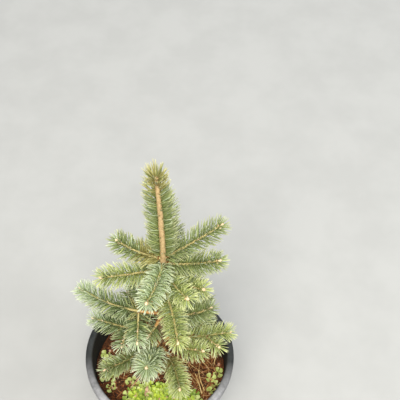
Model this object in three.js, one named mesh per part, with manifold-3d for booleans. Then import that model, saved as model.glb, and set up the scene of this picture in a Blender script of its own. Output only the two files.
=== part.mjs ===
// A young blue spruce growing in a round plastic nursery pot.
// Lengths are millimetres, angles are degrees, +Z is up, and the origin is the centre of the pot's
// flat underside. +X is to the right and -Y is to the front, seen from the front.

import * as THREE from 'three';
import { mergeVertices } from 'three/addons/utils/BufferGeometryUtils.js';
import Module from 'manifold-3d';

const wasm = await Module();
wasm.setup();

// The small space that is left between two pieces that rest on each other
const GAP = 0.3;

// Pot: a tapering wall, a shoulder where the wider collar starts, and a thick lip
const POT_HEIGHT = 200;
const RIM_RADIUS = 112.5;
const BASE_RADIUS = 82;
const BASE_BEVEL = 3;
const POT_WALL = 2.4;
const POT_FLOOR = 4;
const LIP_WIDTH = 11;
const LIP_HEIGHT = 14;
const LIP_ROUND = 3;
const SHOULDER_HEIGHT = 128;
const SHOULDER_RISE = 4;
const SHOULDER_STEP = 2;
const COLLAR_TAPER = 2;
const POT_SIDES = 40;
const DRAIN_HOLES = 6;
const DRAIN_SIDES = 8;
const DRAIN_RADIUS = 5.5;
const DRAIN_CIRCLE = 58;

// Compost: its top, the waves on it, and the flat place that the trunk stands on
const COMPOST_TOP = 152;
const COMPOST_CLEAR = 0.45;
const COMPOST_WAVE = 1.8;
const COMPOST_WAVE_LENGTHS = [103, 76, 48];
const COMPOST_FLAT = 14;
const COMPOST_RINGS = [0.8, 0.57, 0.36];
const COMPOST_EDGE_DROP = 5;

// Low green mat of small plants on the front half of the compost
const MAT_CENTRE = new THREE.Vector2(4, -60);
const MAT_HALF_WIDTH = 66;
const MAT_HALF_DEPTH = 34;
const MAT_THICKNESS = 7;
const MAT_SIDES = 22;
const MAT_RINGS = 9;

// Trunk: where its middle line passes at named heights, and its half thickness there
const TRUNK_SIDES = 9;
const TRUNK_FOOT = COMPOST_TOP + GAP;
const TRUNK_TOP = 636;
const TRUNK_STATIONS = [
  { height: TRUNK_FOOT, lean: 0, back: 0, radius: 7.4 },
  { height: 240, lean: 1.5, back: 1, radius: 6.0 },
  { height: 329, lean: 4.5, back: 0, radius: 4.7 },
  { height: 472, lean: 9.5, back: -1, radius: 3.7 },
  { height: 560, lean: 8.2, back: 0, radius: 3.4 },
  { height: TRUNK_TOP, lean: 4.8, back: 1, radius: 2.4 },
];
const TRUNK_BEND = 0.4;
const TRUNK_RING = 24;
const ROOT_FLARE = 3.2;
const FLARE_FADE = 9;
const FLARE_RINGS = [0, 3, 7, 13, 22, 40];

// Boughs: bare wood between the trunk and a mass of needles
const BOUGH_SIDES = 6;
const BOUGH_RINGS = 4;
const BOUGH_ROOT_RADIUS = 2.7;
const BOUGH_SUNK = 1;

// Twigs: the slim core of a mass, which the needles stand out of
const TWIG_SIDES = 4;
const TWIG_ROOT_RADIUS = 1.9;
const TWIG_TIP_RADIUS = 1.3;
const SIDE_TWIG_SHARE = 0.8;
const BUD_LENGTH = 4;

// Needles: size, and their lean from the twig at its foot and at its tip
const NEEDLE_LENGTH = 22;
const NEEDLE_LEAN = 60;
const NEEDLE_LEAN_TIP = 36;
const NEEDLE_LIFT = 0.22;
const NEEDLE_JITTER = 5;
const NEEDLE_SHORTEST = 0.86;
const NEEDLE_LONGEST = 1.02;
const NEEDLE_AT_TIP = 0.85;
const NEEDLE_SPACING = 5.4;
const NEEDLE_HALF_WIDTH = 1.5;
const NEEDLE_CLEAR = 0.5;
const NEEDLE_TRIES = [1, 0.8, 0.6, 0.42];
const NEEDLE_TESTS = [0.35, 0.55, 0.78, 1];
const TIP_REACH = 12;

// Leader: the sleeve of needles round the top of the trunk
const LEADER_START = 482;
const LEADER_SIDES = 7;
const LEADER_SLEEVE = 1.3;
const LEADER_BUD = 7;
const LEADER_LEAN = 48;
const LEADER_SEED = 7;

// Each limb leaves the trunk at a height and a bearing (0 is right, 90 is back). Reach is from the
// trunk's middle to the furthest needle, sag is how far the middle hangs under the straight line,
// sweep is how far it bows to the left of its way out, and bare is the length that is a bough. A
// fork is a side twig that shows, and twigs is how many the seeded rule adds.
const LIMBS = [
  { name: 'top_right', height: 475, bearing: 20, rise: 28, reach: 95, sag: 2 },
  { name: 'top_back', height: 471, bearing: 88, rise: 33, reach: 84, sag: 3 },
  { name: 'top_left_back', height: 475, bearing: 175, rise: 27, reach: 73, sag: 7 },
  { name: 'top_left', height: 451, bearing: 202, rise: 16, reach: 92, sag: 2 },
  { name: 'top_front', height: 467, bearing: 259, rise: 20, reach: 91, sag: 2, sweep: 2 },
  { name: 'top_right_low', height: 465, bearing: 353, rise: 18, reach: 84, sag: 5 },
  { name: 'upper_front', height: 444, bearing: 303, rise: 20, reach: 75, sag: 3 },
  { name: 'upper_right', height: 430, bearing: 332, rise: 18, reach: 73, sag: 4 },
  { name: 'upper_front_low', height: 413, bearing: 285, rise: 7, reach: 104, sag: 4, sweep: 3 },
  { name: 'upper_back', height: 438, bearing: 78, rise: 24, reach: 72, sag: 3 },
  { name: 'upper_back_left', height: 424, bearing: 128, rise: 20, reach: 60, sag: 3 },
  { name: 'upper_back_right', height: 405, bearing: 58, rise: 16, reach: 74, sag: 4 },
  { name: 'middle_right', height: 335, bearing: 358, rise: 14, reach: 80, sag: 7, sweep: -4, bare: 15 },
  { name: 'middle_left', height: 330, bearing: 171, rise: 14, reach: 126, sag: 4, sweep: 7, bare: 24,
    forks: [{ along: 0.03, turn: 94, rise: -10, reach: 43 }] },
  { name: 'middle_back', height: 327, bearing: 102, rise: 20, reach: 92, sag: 4, bare: 18, twigs: 1 },
  { name: 'middle_back_right', height: 334, bearing: 60, rise: 18, reach: 94, sag: 5, bare: 20, twigs: 2 },
  { name: 'middle_front', height: 318, bearing: 243, rise: 0, reach: 46, sag: 2, bare: 11 },
  { name: 'middle_back_left', height: 339, bearing: 139, rise: 16, reach: 68, sag: 3, bare: 15 },
  { name: 'low_right', height: 248, bearing: 2, rise: 12, reach: 113, sag: 4, bare: 26, twigs: 2 },
  { name: 'low_left', height: 258, bearing: 174, rise: 16, reach: 111, sag: 3, bare: 26,
    forks: [{ along: 0.27, turn: 86, rise: -4, reach: 27 }] },
  { name: 'low_front_left', height: 239, bearing: 216, rise: 8, reach: 104, sag: 4, bare: 22 },
  { name: 'low_front', height: 249, bearing: 257, rise: 31, reach: 89, sag: 5, bare: 15 },
  { name: 'low_front_right', height: 233, bearing: 293, rise: 8, reach: 94, sag: 3, sweep: 5, bare: 20 },
  { name: 'low_right_front', height: 239, bearing: 337, rise: 22, reach: 84, sag: 4, bare: 20 },
  { name: 'low_back_left', height: 240, bearing: 128, rise: 15, reach: 98, sag: 5, bare: 24, twigs: 2 },
  { name: 'low_back', height: 248, bearing: 86, rise: 12, reach: 110, sag: 5, bare: 26, twigs: 2 },
  { name: 'low_back_right', height: 240, bearing: 44, rise: 12, reach: 106, sag: 5, bare: 24, twigs: 2 },
];

// The seeded rule for side twigs: where they start, how far they turn, and their share of the length
const FIRST_SEED = 101;
const RULE_START = 0.12;
const RULE_STEP = 0.3;
const RULE_START_SPREAD = 0.08;
const RULE_TURN = 48;
const RULE_TURN_RANGE = [0.85, 1.2];
const RULE_SHARE = 0.55;
const RULE_SHARE_LOSS = 0.3;
const RULE_ROOM = 9;

const UP = new THREE.Vector3(0, 0, 1);
const rad = THREE.MathUtils.degToRad;
const lerp = THREE.MathUtils.lerp;
const spruce = new THREE.Group();

const MATERIALS = {
  pot: new THREE.MeshStandardMaterial({ color: 0x43474a, roughness: 0.55, metalness: 0 }),
  compost: new THREE.MeshStandardMaterial({ color: 0x5a3526, roughness: 0.95, metalness: 0 }),
  mat: new THREE.MeshStandardMaterial({ color: 0xa9c543, roughness: 0.8, metalness: 0 }),
  bark: new THREE.MeshStandardMaterial({ color: 0xa9793f, roughness: 0.8, metalness: 0 }),
  needles: new THREE.MeshStandardMaterial({ color: 0x8da982, roughness: 0.6, metalness: 0 }),
};

// A repeatable source of numbers between 0 and 1, from a well-known small generator
function seededRandom(seed) {
  let state = seed >>> 0;
  return () => {
    state = (state + 0x6d2b79f5) >>> 0;
    let t = Math.imul(state ^ (state >>> 15), 1 | state);
    t = (t + Math.imul(t ^ (t >>> 7), 61 | t)) ^ t;
    return ((t ^ (t >>> 14)) >>> 0) / 2 ** 32;
  };
}

// Closed geometry to solid, and back
function toSolid(geometry) {
  geometry.deleteAttribute('normal');
  geometry.deleteAttribute('uv');
  const merged = mergeVertices(geometry, 1e-4);
  return new wasm.Manifold(new wasm.Mesh({
    numProp: 3,
    vertProperties: merged.attributes.position.array,
    triVerts: new Uint32Array(merged.index.array),
  }));
}

function toGeometry(solid) {
  const mesh = solid.getMesh();
  return new THREE.BufferGeometry()
    .setAttribute('position', new THREE.BufferAttribute(mesh.vertProperties, 3))
    .setIndex(new THREE.BufferAttribute(mesh.triVerts, 1));
}

function closedGeometry(vertices, faces) {
  return new THREE.BufferGeometry()
    .setAttribute('position', new THREE.Float32BufferAttribute(vertices, 3))
    .setIndex(faces);
}

// The largest body of a solid, so that a scrap left by a cut is dropped
function largestBody(solid) {
  return solid.decompose().reduce((a, b) => (b.volume() > a.volume() ? b : a));
}

function addPart(name, solid, material) {
  const mesh = new THREE.Mesh(toGeometry(solid), material);
  mesh.name = name;
  spruce.add(mesh);
}

// A profile of [radius, height] pairs, turned about the Z axis
function turned(profile) {
  const points = profile.map(([radius, height]) => new THREE.Vector2(radius, height));
  return new THREE.LatheGeometry(points, POT_SIDES).rotateX(Math.PI / 2);
}

// Pot

const COLLAR_FOOT = SHOULDER_HEIGHT + SHOULDER_RISE;
const LIP_FOOT = POT_HEIGHT - LIP_HEIGHT;

// The outside of the pot's wall at a height
function potRadius(height) {
  const collarTop = RIM_RADIUS - LIP_WIDTH + POT_WALL;
  const collarBottom = collarTop - COLLAR_TAPER;
  const wallTop = collarBottom - SHOULDER_STEP;
  if (height >= LIP_FOOT) return collarTop;
  if (height >= COLLAR_FOOT) {
    return lerp(collarBottom, collarTop, (height - COLLAR_FOOT) / (LIP_FOOT - COLLAR_FOOT));
  }
  if (height >= SHOULDER_HEIGHT) return lerp(wallTop, collarBottom, (height - SHOULDER_HEIGHT) / SHOULDER_RISE);
  return lerp(BASE_RADIUS, wallTop, height / SHOULDER_HEIGHT);
}

function buildPot() {
  const inside = (height) => potRadius(height) - POT_WALL;
  let pot = toSolid(turned([
    [0, 0],
    [BASE_RADIUS - BASE_BEVEL, 0],
    [potRadius(BASE_BEVEL), BASE_BEVEL],
    [potRadius(SHOULDER_HEIGHT), SHOULDER_HEIGHT],
    [potRadius(COLLAR_FOOT), COLLAR_FOOT],
    [potRadius(LIP_FOOT), LIP_FOOT],
    [RIM_RADIUS - LIP_ROUND, LIP_FOOT],
    [RIM_RADIUS, LIP_FOOT + LIP_ROUND],
    [RIM_RADIUS, POT_HEIGHT - LIP_ROUND],
    [RIM_RADIUS - LIP_ROUND, POT_HEIGHT],
    [inside(POT_HEIGHT) + LIP_ROUND, POT_HEIGHT],
    [inside(POT_HEIGHT), POT_HEIGHT - LIP_ROUND],
    [inside(COLLAR_FOOT), COLLAR_FOOT],
    [inside(SHOULDER_HEIGHT), SHOULDER_HEIGHT],
    [inside(POT_FLOOR), POT_FLOOR],
    [0, POT_FLOOR],
  ]));
  for (let i = 0; i < DRAIN_HOLES; i += 1) {
    const angle = rad((360 * i) / DRAIN_HOLES);
    const drill = new THREE.CylinderGeometry(DRAIN_RADIUS, DRAIN_RADIUS, POT_FLOOR * 3, DRAIN_SIDES)
      .rotateX(Math.PI / 2)
      .translate(DRAIN_CIRCLE * Math.cos(angle), DRAIN_CIRCLE * Math.sin(angle), 0);
    pot = pot.subtract(toSolid(drill));
  }
  return pot;
}

// Compost and its green mat

// Low waves on the compost, which fade out round the trunk's foot
function compostWave(x, y) {
  const [across, along, slanting] = COMPOST_WAVE_LENGTHS.map((length) => (2 * Math.PI) / length);
  const wide = Math.sin(across * x + 1) * Math.cos(along * y);
  const narrow = Math.sin(slanting * (x - y) + 2) / 2;
  const fade = THREE.MathUtils.smoothstep(Math.hypot(x, y), COMPOST_FLAT, COMPOST_FLAT * 3);
  return COMPOST_WAVE * (wide + narrow) * fade;
}

function buildCompost() {
  const side = (height) => potRadius(height) - POT_WALL - COMPOST_CLEAR;
  const bottom = POT_FLOOR + GAP;
  const edge = COMPOST_TOP - COMPOST_EDGE_DROP;
  const geometry = turned([
    [0, bottom],
    [side(bottom), bottom],
    [side(SHOULDER_HEIGHT), SHOULDER_HEIGHT],
    [side(COLLAR_FOOT), COLLAR_FOOT],
    [side(edge), edge],
    [side(edge) - 1, COMPOST_TOP],
    ...COMPOST_RINGS.map((share) => [side(edge) * share, COMPOST_TOP]),
    [COMPOST_FLAT, COMPOST_TOP],
    [0, COMPOST_TOP],
  ]);
  const position = geometry.attributes.position;
  for (let i = 0; i < position.count; i += 1) {
    if (position.getZ(i) > edge + 1) {
      position.setZ(i, COMPOST_TOP + compostWave(position.getX(i), position.getY(i)));
    }
  }
  return toSolid(geometry);
}

// A flat cushion half sunk in the compost, with everything under the compost's surface cut away
function buildMat(compost) {
  const cushion = new THREE.SphereGeometry(1, MAT_SIDES, MAT_RINGS)
    .rotateX(Math.PI / 2)
    .scale(MAT_HALF_WIDTH, MAT_HALF_DEPTH, MAT_THICKNESS)
    .translate(MAT_CENTRE.x, MAT_CENTRE.y, COMPOST_TOP);
  return largestBody(toSolid(cushion).subtract(compost.translate([0, 0, GAP])));
}

// Trunk

const trunkLine = new THREE.CatmullRomCurve3(
  TRUNK_STATIONS.map((station) => new THREE.Vector3(station.lean, station.back, station.height)),
  false,
  'catmullrom',
  TRUNK_BEND,
);

function trunkRadius(height) {
  const next = Math.max(1, TRUNK_STATIONS.findIndex((station) => station.height >= height));
  const [below, above] = [TRUNK_STATIONS[next - 1], TRUNK_STATIONS[next]];
  const share = (height - below.height) / (above.height - below.height);
  const even = lerp(below.radius, above.radius, THREE.MathUtils.clamp(share, 0, 1));
  return even + ROOT_FLARE * Math.exp(-(height - COMPOST_TOP) / FLARE_FADE);
}

// The point of the trunk's middle line at a height, found by halving
function trunkPoint(height) {
  let [low, high] = [0, 1];
  for (let i = 0; i < 30; i += 1) {
    const middle = (low + high) / 2;
    if (trunkLine.getPoint(middle).z < height) low = middle;
    else high = middle;
  }
  return trunkLine.getPoint(low);
}

// The two directions across a line, for a ring of points round it
function across(tangent) {
  const reference = Math.abs(tangent.z) > 0.9 ? new THREE.Vector3(0, -1, 0) : UP;
  const side = new THREE.Vector3().crossVectors(reference, tangent).normalize();
  return { side, upper: new THREE.Vector3().crossVectors(tangent, side) };
}

function ringPoint({ point, tangent, radius }, angle) {
  const { side, upper } = across(tangent);
  return point.clone()
    .addScaledVector(side, radius * Math.cos(angle))
    .addScaledVector(upper, radius * Math.sin(angle));
}

// A plain tapering limb: a ring of points at each station, closed by a flat end on each side
function limbSolid(stations, sides) {
  const vertices = [];
  const faces = [];
  stations.forEach((station) => {
    for (let j = 0; j < sides; j += 1) {
      vertices.push(...ringPoint(station, (2 * Math.PI * j) / sides).toArray());
    }
  });
  for (let i = 0; i + 1 < stations.length; i += 1) {
    for (let j = 0; j < sides; j += 1) {
      const k = (j + 1) % sides;
      const [a, b, c, d] = [i * sides + j, i * sides + k, (i + 1) * sides + j, (i + 1) * sides + k];
      faces.push(a, b, d, a, d, c);
    }
  }
  const last = (stations.length - 1) * sides;
  for (let j = 1; j + 1 < sides; j += 1) {
    faces.push(0, j + 1, j, last, last + j, last + j + 1);
  }
  return toSolid(closedGeometry(vertices, faces));
}

// The trunk, or a copy that is larger by a margin on every side, to cut its neighbours clear of it
function buildTrunk(margin) {
  const heights = FLARE_RINGS.map((above) => TRUNK_FOOT + above);
  for (let height = heights.at(-1) + TRUNK_RING; height < TRUNK_TOP; height += TRUNK_RING) heights.push(height);
  heights.push(TRUNK_TOP);
  const stations = heights.map((height) => ({
    point: trunkPoint(height),
    tangent: UP,
    radius: trunkRadius(height) + margin / Math.cos(Math.PI / TRUNK_SIDES),
  }));
  stations[0].point.z -= margin;
  stations.at(-1).point.z += margin;
  return limbSolid(stations, TRUNK_SIDES);
}

// Lines of limbs and twigs

// A bow between a root and a tip
function bowedLine(root, bearing, rise, length, sag = 0, sweep = 0) {
  const outward = new THREE.Vector3(Math.cos(rad(bearing)), Math.sin(rad(bearing)), 0);
  const left = new THREE.Vector3().crossVectors(UP, outward);
  const chord = outward.multiplyScalar(Math.cos(rad(rise))).addScaledVector(UP, Math.sin(rad(rise)));
  const middle = root.clone()
    .addScaledVector(chord, length / 2)
    .addScaledVector(UP, -2 * sag)
    .addScaledVector(left, 2 * sweep);
  return new THREE.QuadraticBezierCurve3(root, middle, root.clone().addScaledVector(chord, length));
}

// Stations along the stretch of a line between two distances from its root
function stationsAlong(line, from, to, count, rootRadius, tipRadius) {
  return Array.from({ length: count + 1 }, (_, i) => {
    const u = Math.min(1, lerp(from, to, i / count) / line.getLength());
    const radius = lerp(rootRadius, tipRadius, i / count);
    return { point: line.getPointAt(u), tangent: line.getTangentAt(u), radius };
  });
}

function makeTwig(owner, line, from, to, rootRadius) {
  const count = Math.max(2, Math.round((to - from) / NEEDLE_SPACING));
  return { owner, stations: stationsAlong(line, from, to, count, rootRadius, TWIG_TIP_RADIUS) };
}

// Straight pieces that stand for every stem, each with its owner. A limb is a stem without needles.
const skeleton = [];

function addToSkeleton(owner, stations, isLimb) {
  for (let i = 0; i + 1 < stations.length; i += 1) {
    skeleton.push({
      owner,
      isLimb,
      line: new THREE.Line3(stations[i].point, stations[i + 1].point),
      radius: stations[i].radius,
    });
  }
}

const nearest = new THREE.Vector3();

function distanceTo(piece, point) {
  piece.line.closestPointToPoint(point, true, nearest);
  return nearest.distanceTo(point);
}

// True where a point of a needle is nearer to its own twig than to any other, and clear of the limbs
function inOwnSpace(owner, point, halfWidth) {
  let own = Infinity;
  let other = Infinity;
  for (const piece of skeleton) {
    const distance = distanceTo(piece, point);
    if (piece.owner === owner) own = Math.min(own, distance);
    else if (!piece.isLimb) other = Math.min(other, distance);
    else if (distance < piece.radius + halfWidth + NEEDLE_CLEAR + GAP) return false;
  }
  return own + 2 * (halfWidth + NEEDLE_CLEAR) < other;
}

// The seeded rule for side twigs, and the forks that are set by hand
function sideLines(limb, line, from, to, random) {
  const rows = limb.forks ?? Array.from({ length: limb.twigs ?? 0 }, (_, i) => ({
    along: RULE_START + RULE_STEP * i + RULE_START_SPREAD * random(),
    turn: (i % 2 ? -1 : 1) * RULE_TURN * lerp(...RULE_TURN_RANGE, random()),
    rise: limb.rise * random(),
    reach: (to - from) * RULE_SHARE * (1 - RULE_SHARE_LOSS * i),
  }));
  return rows.map((row) => {
    const u = lerp(from, to, row.along) / line.getLength();
    const tangent = line.getTangentAt(u);
    const bearing = THREE.MathUtils.radToDeg(Math.atan2(tangent.y, tangent.x)) + row.turn;
    return bowedLine(line.getPointAt(u), bearing, row.rise, row.reach, 1);
  });
}

// A side twig keeps away from every stem that isn't the one it grows from
function hasRoom(twig, parent) {
  return twig.stations.slice(2).every(({ point }) => skeleton.every(
    (piece) => piece.owner === parent || distanceTo(piece, point) > RULE_ROOM,
  ));
}

// A limb's line, its bough where it has one, and the main twig of its mass
function growLimb(limb, index) {
  const { bearing, rise, sag, sweep } = limb;
  const trunk = trunkRadius(limb.height);
  const line = bowedLine(trunkPoint(limb.height), bearing, rise, limb.reach - TIP_REACH, sag, sweep);
  const sunk = trunk - BOUGH_SUNK;
  const boughTip = trunk + (limb.bare ?? 0);
  const from = limb.bare ? boughTip + GAP : sunk;
  const main = makeTwig(limb.name, line, from, line.getLength(), TWIG_ROOT_RADIUS);
  const bough = limb.bare
    ? stationsAlong(line, sunk, boughTip, BOUGH_RINGS - 1, BOUGH_ROOT_RADIUS, TWIG_ROOT_RADIUS)
    : null;
  if (bough) addToSkeleton(`${limb.name}_bough`, bough, true);
  addToSkeleton(limb.name, main.stations, false);
  return { limb, line, from, main, bough, side: [], random: seededRandom(FIRST_SEED + index) };
}

function growSideTwigs(grown) {
  const { limb, line, from, random } = grown;
  sideLines(limb, line, from, line.getLength(), random).forEach((sideLine, i) => {
    const radius = TWIG_ROOT_RADIUS * SIDE_TWIG_SHARE;
    const twig = makeTwig(`${limb.name}_${i}`, sideLine, 0, sideLine.getLength(), radius);
    if (!hasRoom(twig, limb.name)) return;
    addToSkeleton(twig.owner, twig.stations, false);
    grown.side.push(twig);
  });
}

function growLeader() {
  const top = TRUNK_TOP + GAP;
  const count = Math.round((top - LEADER_START) / NEEDLE_SPACING);
  const stations = Array.from({ length: count + 1 }, (_, i) => {
    const height = lerp(LEADER_START, top, i / count);
    return {
      point: trunkPoint(Math.min(height, TRUNK_TOP)).setZ(height),
      tangent: UP,
      radius: trunkRadius(height) + LEADER_SLEEVE + GAP,
    };
  });
  addToSkeleton('leader', stations, false);
  return { owner: 'leader', stations, lean: LEADER_LEAN };
}

// Needles

// A needle's tip over one facet of a twig, or null where it has no room even when it is short
function needleTip(twig, station, corners, share, random) {
  const root = corners.reduce((sum, corner) => sum.add(corner), new THREE.Vector3()).divideScalar(3);
  const out = root.clone().sub(station.point);
  out.addScaledVector(station.tangent, -out.dot(station.tangent)).normalize();
  const jitter = lerp(-NEEDLE_JITTER, NEEDLE_JITTER, random());
  const lean = rad(lerp(twig.lean ?? NEEDLE_LEAN, NEEDLE_LEAN_TIP, share ** 3) + jitter);
  const along = out.multiplyScalar(Math.sin(lean))
    .addScaledVector(station.tangent, Math.cos(lean))
    .addScaledVector(UP, NEEDLE_LIFT * (1 - Math.abs(station.tangent.z)))
    .normalize();
  const shortening = lerp(1, NEEDLE_AT_TIP, share ** 6);
  const full = NEEDLE_LENGTH * lerp(NEEDLE_SHORTEST, NEEDLE_LONGEST, random()) * shortening;
  const size = NEEDLE_TRIES.find((tried) => NEEDLE_TESTS.every((test) => inOwnSpace(
    twig.owner,
    root.clone().addScaledVector(along, full * tried * test),
    NEEDLE_HALF_WIDTH * (1 - test),
  )));
  return size ? root.addScaledVector(along, full * size) : null;
}

// A twig's solid: a slim core of turned rings, whose facets are each drawn out to a needle
function needledTwig(twig, sides, bud, random) {
  const { stations } = twig;
  const end = stations.length - 1;
  const vertices = [];
  const faces = [];
  stations.forEach((station, i) => {
    for (let j = 0; j < sides; j += 1) {
      const angle = (2 * Math.PI * (j + (i % 2) / 2 + 0.25)) / sides;
      vertices.push(...ringPoint(station, angle).toArray());
    }
  });
  vertices.push(...stations[end].point.clone().addScaledVector(stations[end].tangent, bud).toArray());
  const budTip = (end + 1) * sides;
  const addFacet = (i, ...facet) => {
    const corners = facet.map((index) => new THREE.Vector3().fromArray(vertices, index * 3));
    const tip = needleTip(twig, stations[i], corners, i / end, random);
    if (!tip) {
      faces.push(...facet);
      return;
    }
    const [a, b, c] = facet;
    const t = vertices.length / 3;
    vertices.push(...tip.toArray());
    faces.push(a, b, t, b, c, t, c, a, t);
  };
  for (let i = 0; i < end; i += 1) {
    for (let j = 0; j < sides; j += 1) {
      const k = (j + 1) % sides;
      const [a, b, c, d] = [i * sides + j, i * sides + k, (i + 1) * sides + j, (i + 1) * sides + k];
      if (i % 2) {
        addFacet(i, a, b, d);
        addFacet(i, a, d, c);
      } else {
        addFacet(i, a, b, c);
        addFacet(i, b, d, c);
      }
    }
  }
  for (let j = 0; j < sides; j += 1) addFacet(end, end * sides + j, end * sides + ((j + 1) % sides), budTip);
  for (let j = 1; j + 1 < sides; j += 1) faces.push(0, j + 1, j);
  return toSolid(closedGeometry(vertices, faces));
}

// The lines come first, so that each needle knows the space of every other twig
addToSkeleton('trunk', TRUNK_STATIONS.slice(1).flatMap((station, i) => {
  const below = TRUNK_STATIONS[i];
  return [0, 0.25, 0.5, 0.75].map((share) => {
    const height = lerp(below.height, station.height, share);
    return { point: trunkPoint(height), tangent: UP, radius: trunkRadius(height) };
  });
}).concat({ point: trunkPoint(TRUNK_TOP), tangent: UP, radius: trunkRadius(TRUNK_TOP) }), true);
const limbs = LIMBS.map(growLimb);
limbs.forEach(growSideTwigs);
const leader = growLeader();

const compost = buildCompost();
const trunkCutter = buildTrunk(GAP);
addPart('pot', buildPot(), MATERIALS.pot);
addPart('compost', compost, MATERIALS.compost);
addPart('green_mat', buildMat(compost), MATERIALS.mat);
addPart('trunk', buildTrunk(0), MATERIALS.bark);

const leaderSleeve = needledTwig(leader, LEADER_SIDES, LEADER_BUD, seededRandom(LEADER_SEED));
addPart('leader_foliage', largestBody(leaderSleeve.subtract(trunkCutter)), MATERIALS.needles);

limbs.forEach(({ limb, main, bough, side, random }) => {
  if (bough) {
    const wood = limbSolid(bough, BOUGH_SIDES).subtract(trunkCutter);
    addPart(`${limb.name}_bough`, largestBody(wood), MATERIALS.bark);
  }
  let mass = needledTwig(main, TWIG_SIDES, BUD_LENGTH, random);
  side.forEach((twig) => {
    mass = mass.add(needledTwig(twig, TWIG_SIDES, BUD_LENGTH, random));
  });
  if (!bough) mass = mass.subtract(trunkCutter);
  addPart(`${limb.name}_foliage`, largestBody(mass), MATERIALS.needles);
});

export default spruce;
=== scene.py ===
# %% [markdown]
# # A young blue spruce in its nursery pot
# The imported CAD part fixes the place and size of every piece. This lesson dresses it. The plain solids give
# way to a moulded pot, crumbly compost, a mat of small plants, barked wood and thousands of needles. Each
# of them is worked out as an array of points, so that one named value changes the whole plant.

import math

import bpy
import numpy as np
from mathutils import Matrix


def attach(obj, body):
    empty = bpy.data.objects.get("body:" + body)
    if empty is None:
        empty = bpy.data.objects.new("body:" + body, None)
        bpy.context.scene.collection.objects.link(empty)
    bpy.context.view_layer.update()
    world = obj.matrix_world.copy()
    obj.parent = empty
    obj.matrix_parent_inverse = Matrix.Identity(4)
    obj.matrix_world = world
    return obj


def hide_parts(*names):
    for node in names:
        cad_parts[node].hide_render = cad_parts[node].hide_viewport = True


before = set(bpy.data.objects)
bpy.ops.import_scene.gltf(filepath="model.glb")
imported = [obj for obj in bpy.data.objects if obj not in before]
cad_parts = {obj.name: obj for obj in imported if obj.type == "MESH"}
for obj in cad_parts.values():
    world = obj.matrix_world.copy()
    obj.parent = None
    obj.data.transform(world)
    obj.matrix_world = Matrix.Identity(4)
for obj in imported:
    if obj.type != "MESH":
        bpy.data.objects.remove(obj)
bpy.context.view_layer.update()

# %% [markdown]
# ## Camera
# The photograph looks down into the pot from above its front edge, and the bottom of the picture cuts the
# pot's front. The rim is a circle of known size, so the ellipse that it makes in the picture gives the
# camera's place, tilt and focal length. The roll comes first and the tilt second, which is Blender's ZYX
# order.

# %% Camera
LOOK_DOWN = 54
CAMERA_ROLL = 2
camera_data = bpy.data.cameras.new("camera")
camera_data.lens = 72
camera_data.sensor_width = 36
camera = bpy.data.objects.new("camera", camera_data)
camera.location = (0.0529, -0.5246, 1.3216)
camera.rotation_mode = "ZYX"
camera.rotation_euler = (math.radians(90 - LOOK_DOWN), 0, math.radians(CAMERA_ROLL))
bpy.context.scene.collection.objects.link(camera)
bpy.context.scene.camera = camera
print("camera looks down by", LOOK_DOWN, "degrees")

# %% [markdown]
# ## Soft light
# The plant stood under an open sky with more light from the front left. One wide lamp there gives the
# needles their bright edges, two weak ones keep the far side from going black, and a pale world fills the
# rest.

# %% Soft light
PLANT_MIDDLE = (0, 0, 0.35)
LAMPS = {
    "key_lamp": ((-0.2, -1.75, 3.45), 1.8, 172, (1.0, 0.98, 0.93)),
    "fill_lamp": ((2.4, -0.9, 1.9), 1.6, 34, (0.93, 0.97, 1.0)),
    "back_lamp": ((0.4, 2.2, 2.2), 1.6, 22, (0.95, 0.98, 1.0)),
}
WORLD_COLOUR = (0.86, 0.9, 0.95, 1)
WORLD_STRENGTH = 0.6


def add_lamp(name, place, width, power, colour):
    """A square lamp that looks at the middle of the plant. The width is in metres and the power in watts."""
    data = bpy.data.lights.new(name, "AREA")
    data.size = width
    data.energy = power
    data.color = colour
    lamp = bpy.data.objects.new(name, data)
    lamp.location = place
    away = np.subtract(place, PLANT_MIDDLE)
    turn = math.atan2(away[1], away[0]) + math.pi / 2
    tilt = math.acos(away[2] / np.linalg.norm(away))
    lamp.rotation_euler = (tilt, 0, turn)
    bpy.context.scene.collection.objects.link(lamp)


for lamp_name, lamp_row in LAMPS.items():
    add_lamp(lamp_name, *lamp_row)
world = bpy.data.worlds.new("pale_world")
world.use_nodes = True
world.node_tree.nodes["Background"].inputs["Color"].default_value = WORLD_COLOUR
world.node_tree.nodes["Background"].inputs["Strength"].default_value = WORLD_STRENGTH
bpy.context.scene.world = world
bpy.context.scene.view_settings.view_transform = "Standard"
print(len(LAMPS), "lamps and a pale world")

# %% [markdown]
# ## From arrays to a mesh
# Every piece below ends as two arrays, its points and the corners of its faces. Blender takes both whole,
# which is far quicker than adding points one by one. Lengths are worked out in millimetres, as on the
# drawing, and become metres only here.

# %% From arrays to a mesh
MM = 0.001


def make_mesh(name, points, faces, marks=None):
    """A mesh from points in millimetres and a list of face arrays, each with its own number of corners."""
    mesh = bpy.data.meshes.new(name)
    mesh.vertices.add(len(points))
    mesh.vertices.foreach_set("co", (np.asarray(points) * MM).astype(np.float32).ravel())
    corners = np.concatenate([part.ravel() for part in faces])
    counts = np.concatenate([np.full(len(part), part.shape[1]) for part in faces])
    mesh.loops.add(len(corners))
    mesh.loops.foreach_set("vertex_index", corners.astype(np.int32))
    mesh.polygons.add(len(counts))
    mesh.polygons.foreach_set("loop_start", (np.cumsum(counts) - counts).astype(np.int32))
    mesh.update(calc_edges=True)
    for mark, values in (marks or {}).items():
        mesh.attributes.new(mark, "FLOAT", "POINT").data.foreach_set("value", values.astype(np.float32))
    mesh.validate()
    return mesh


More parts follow.
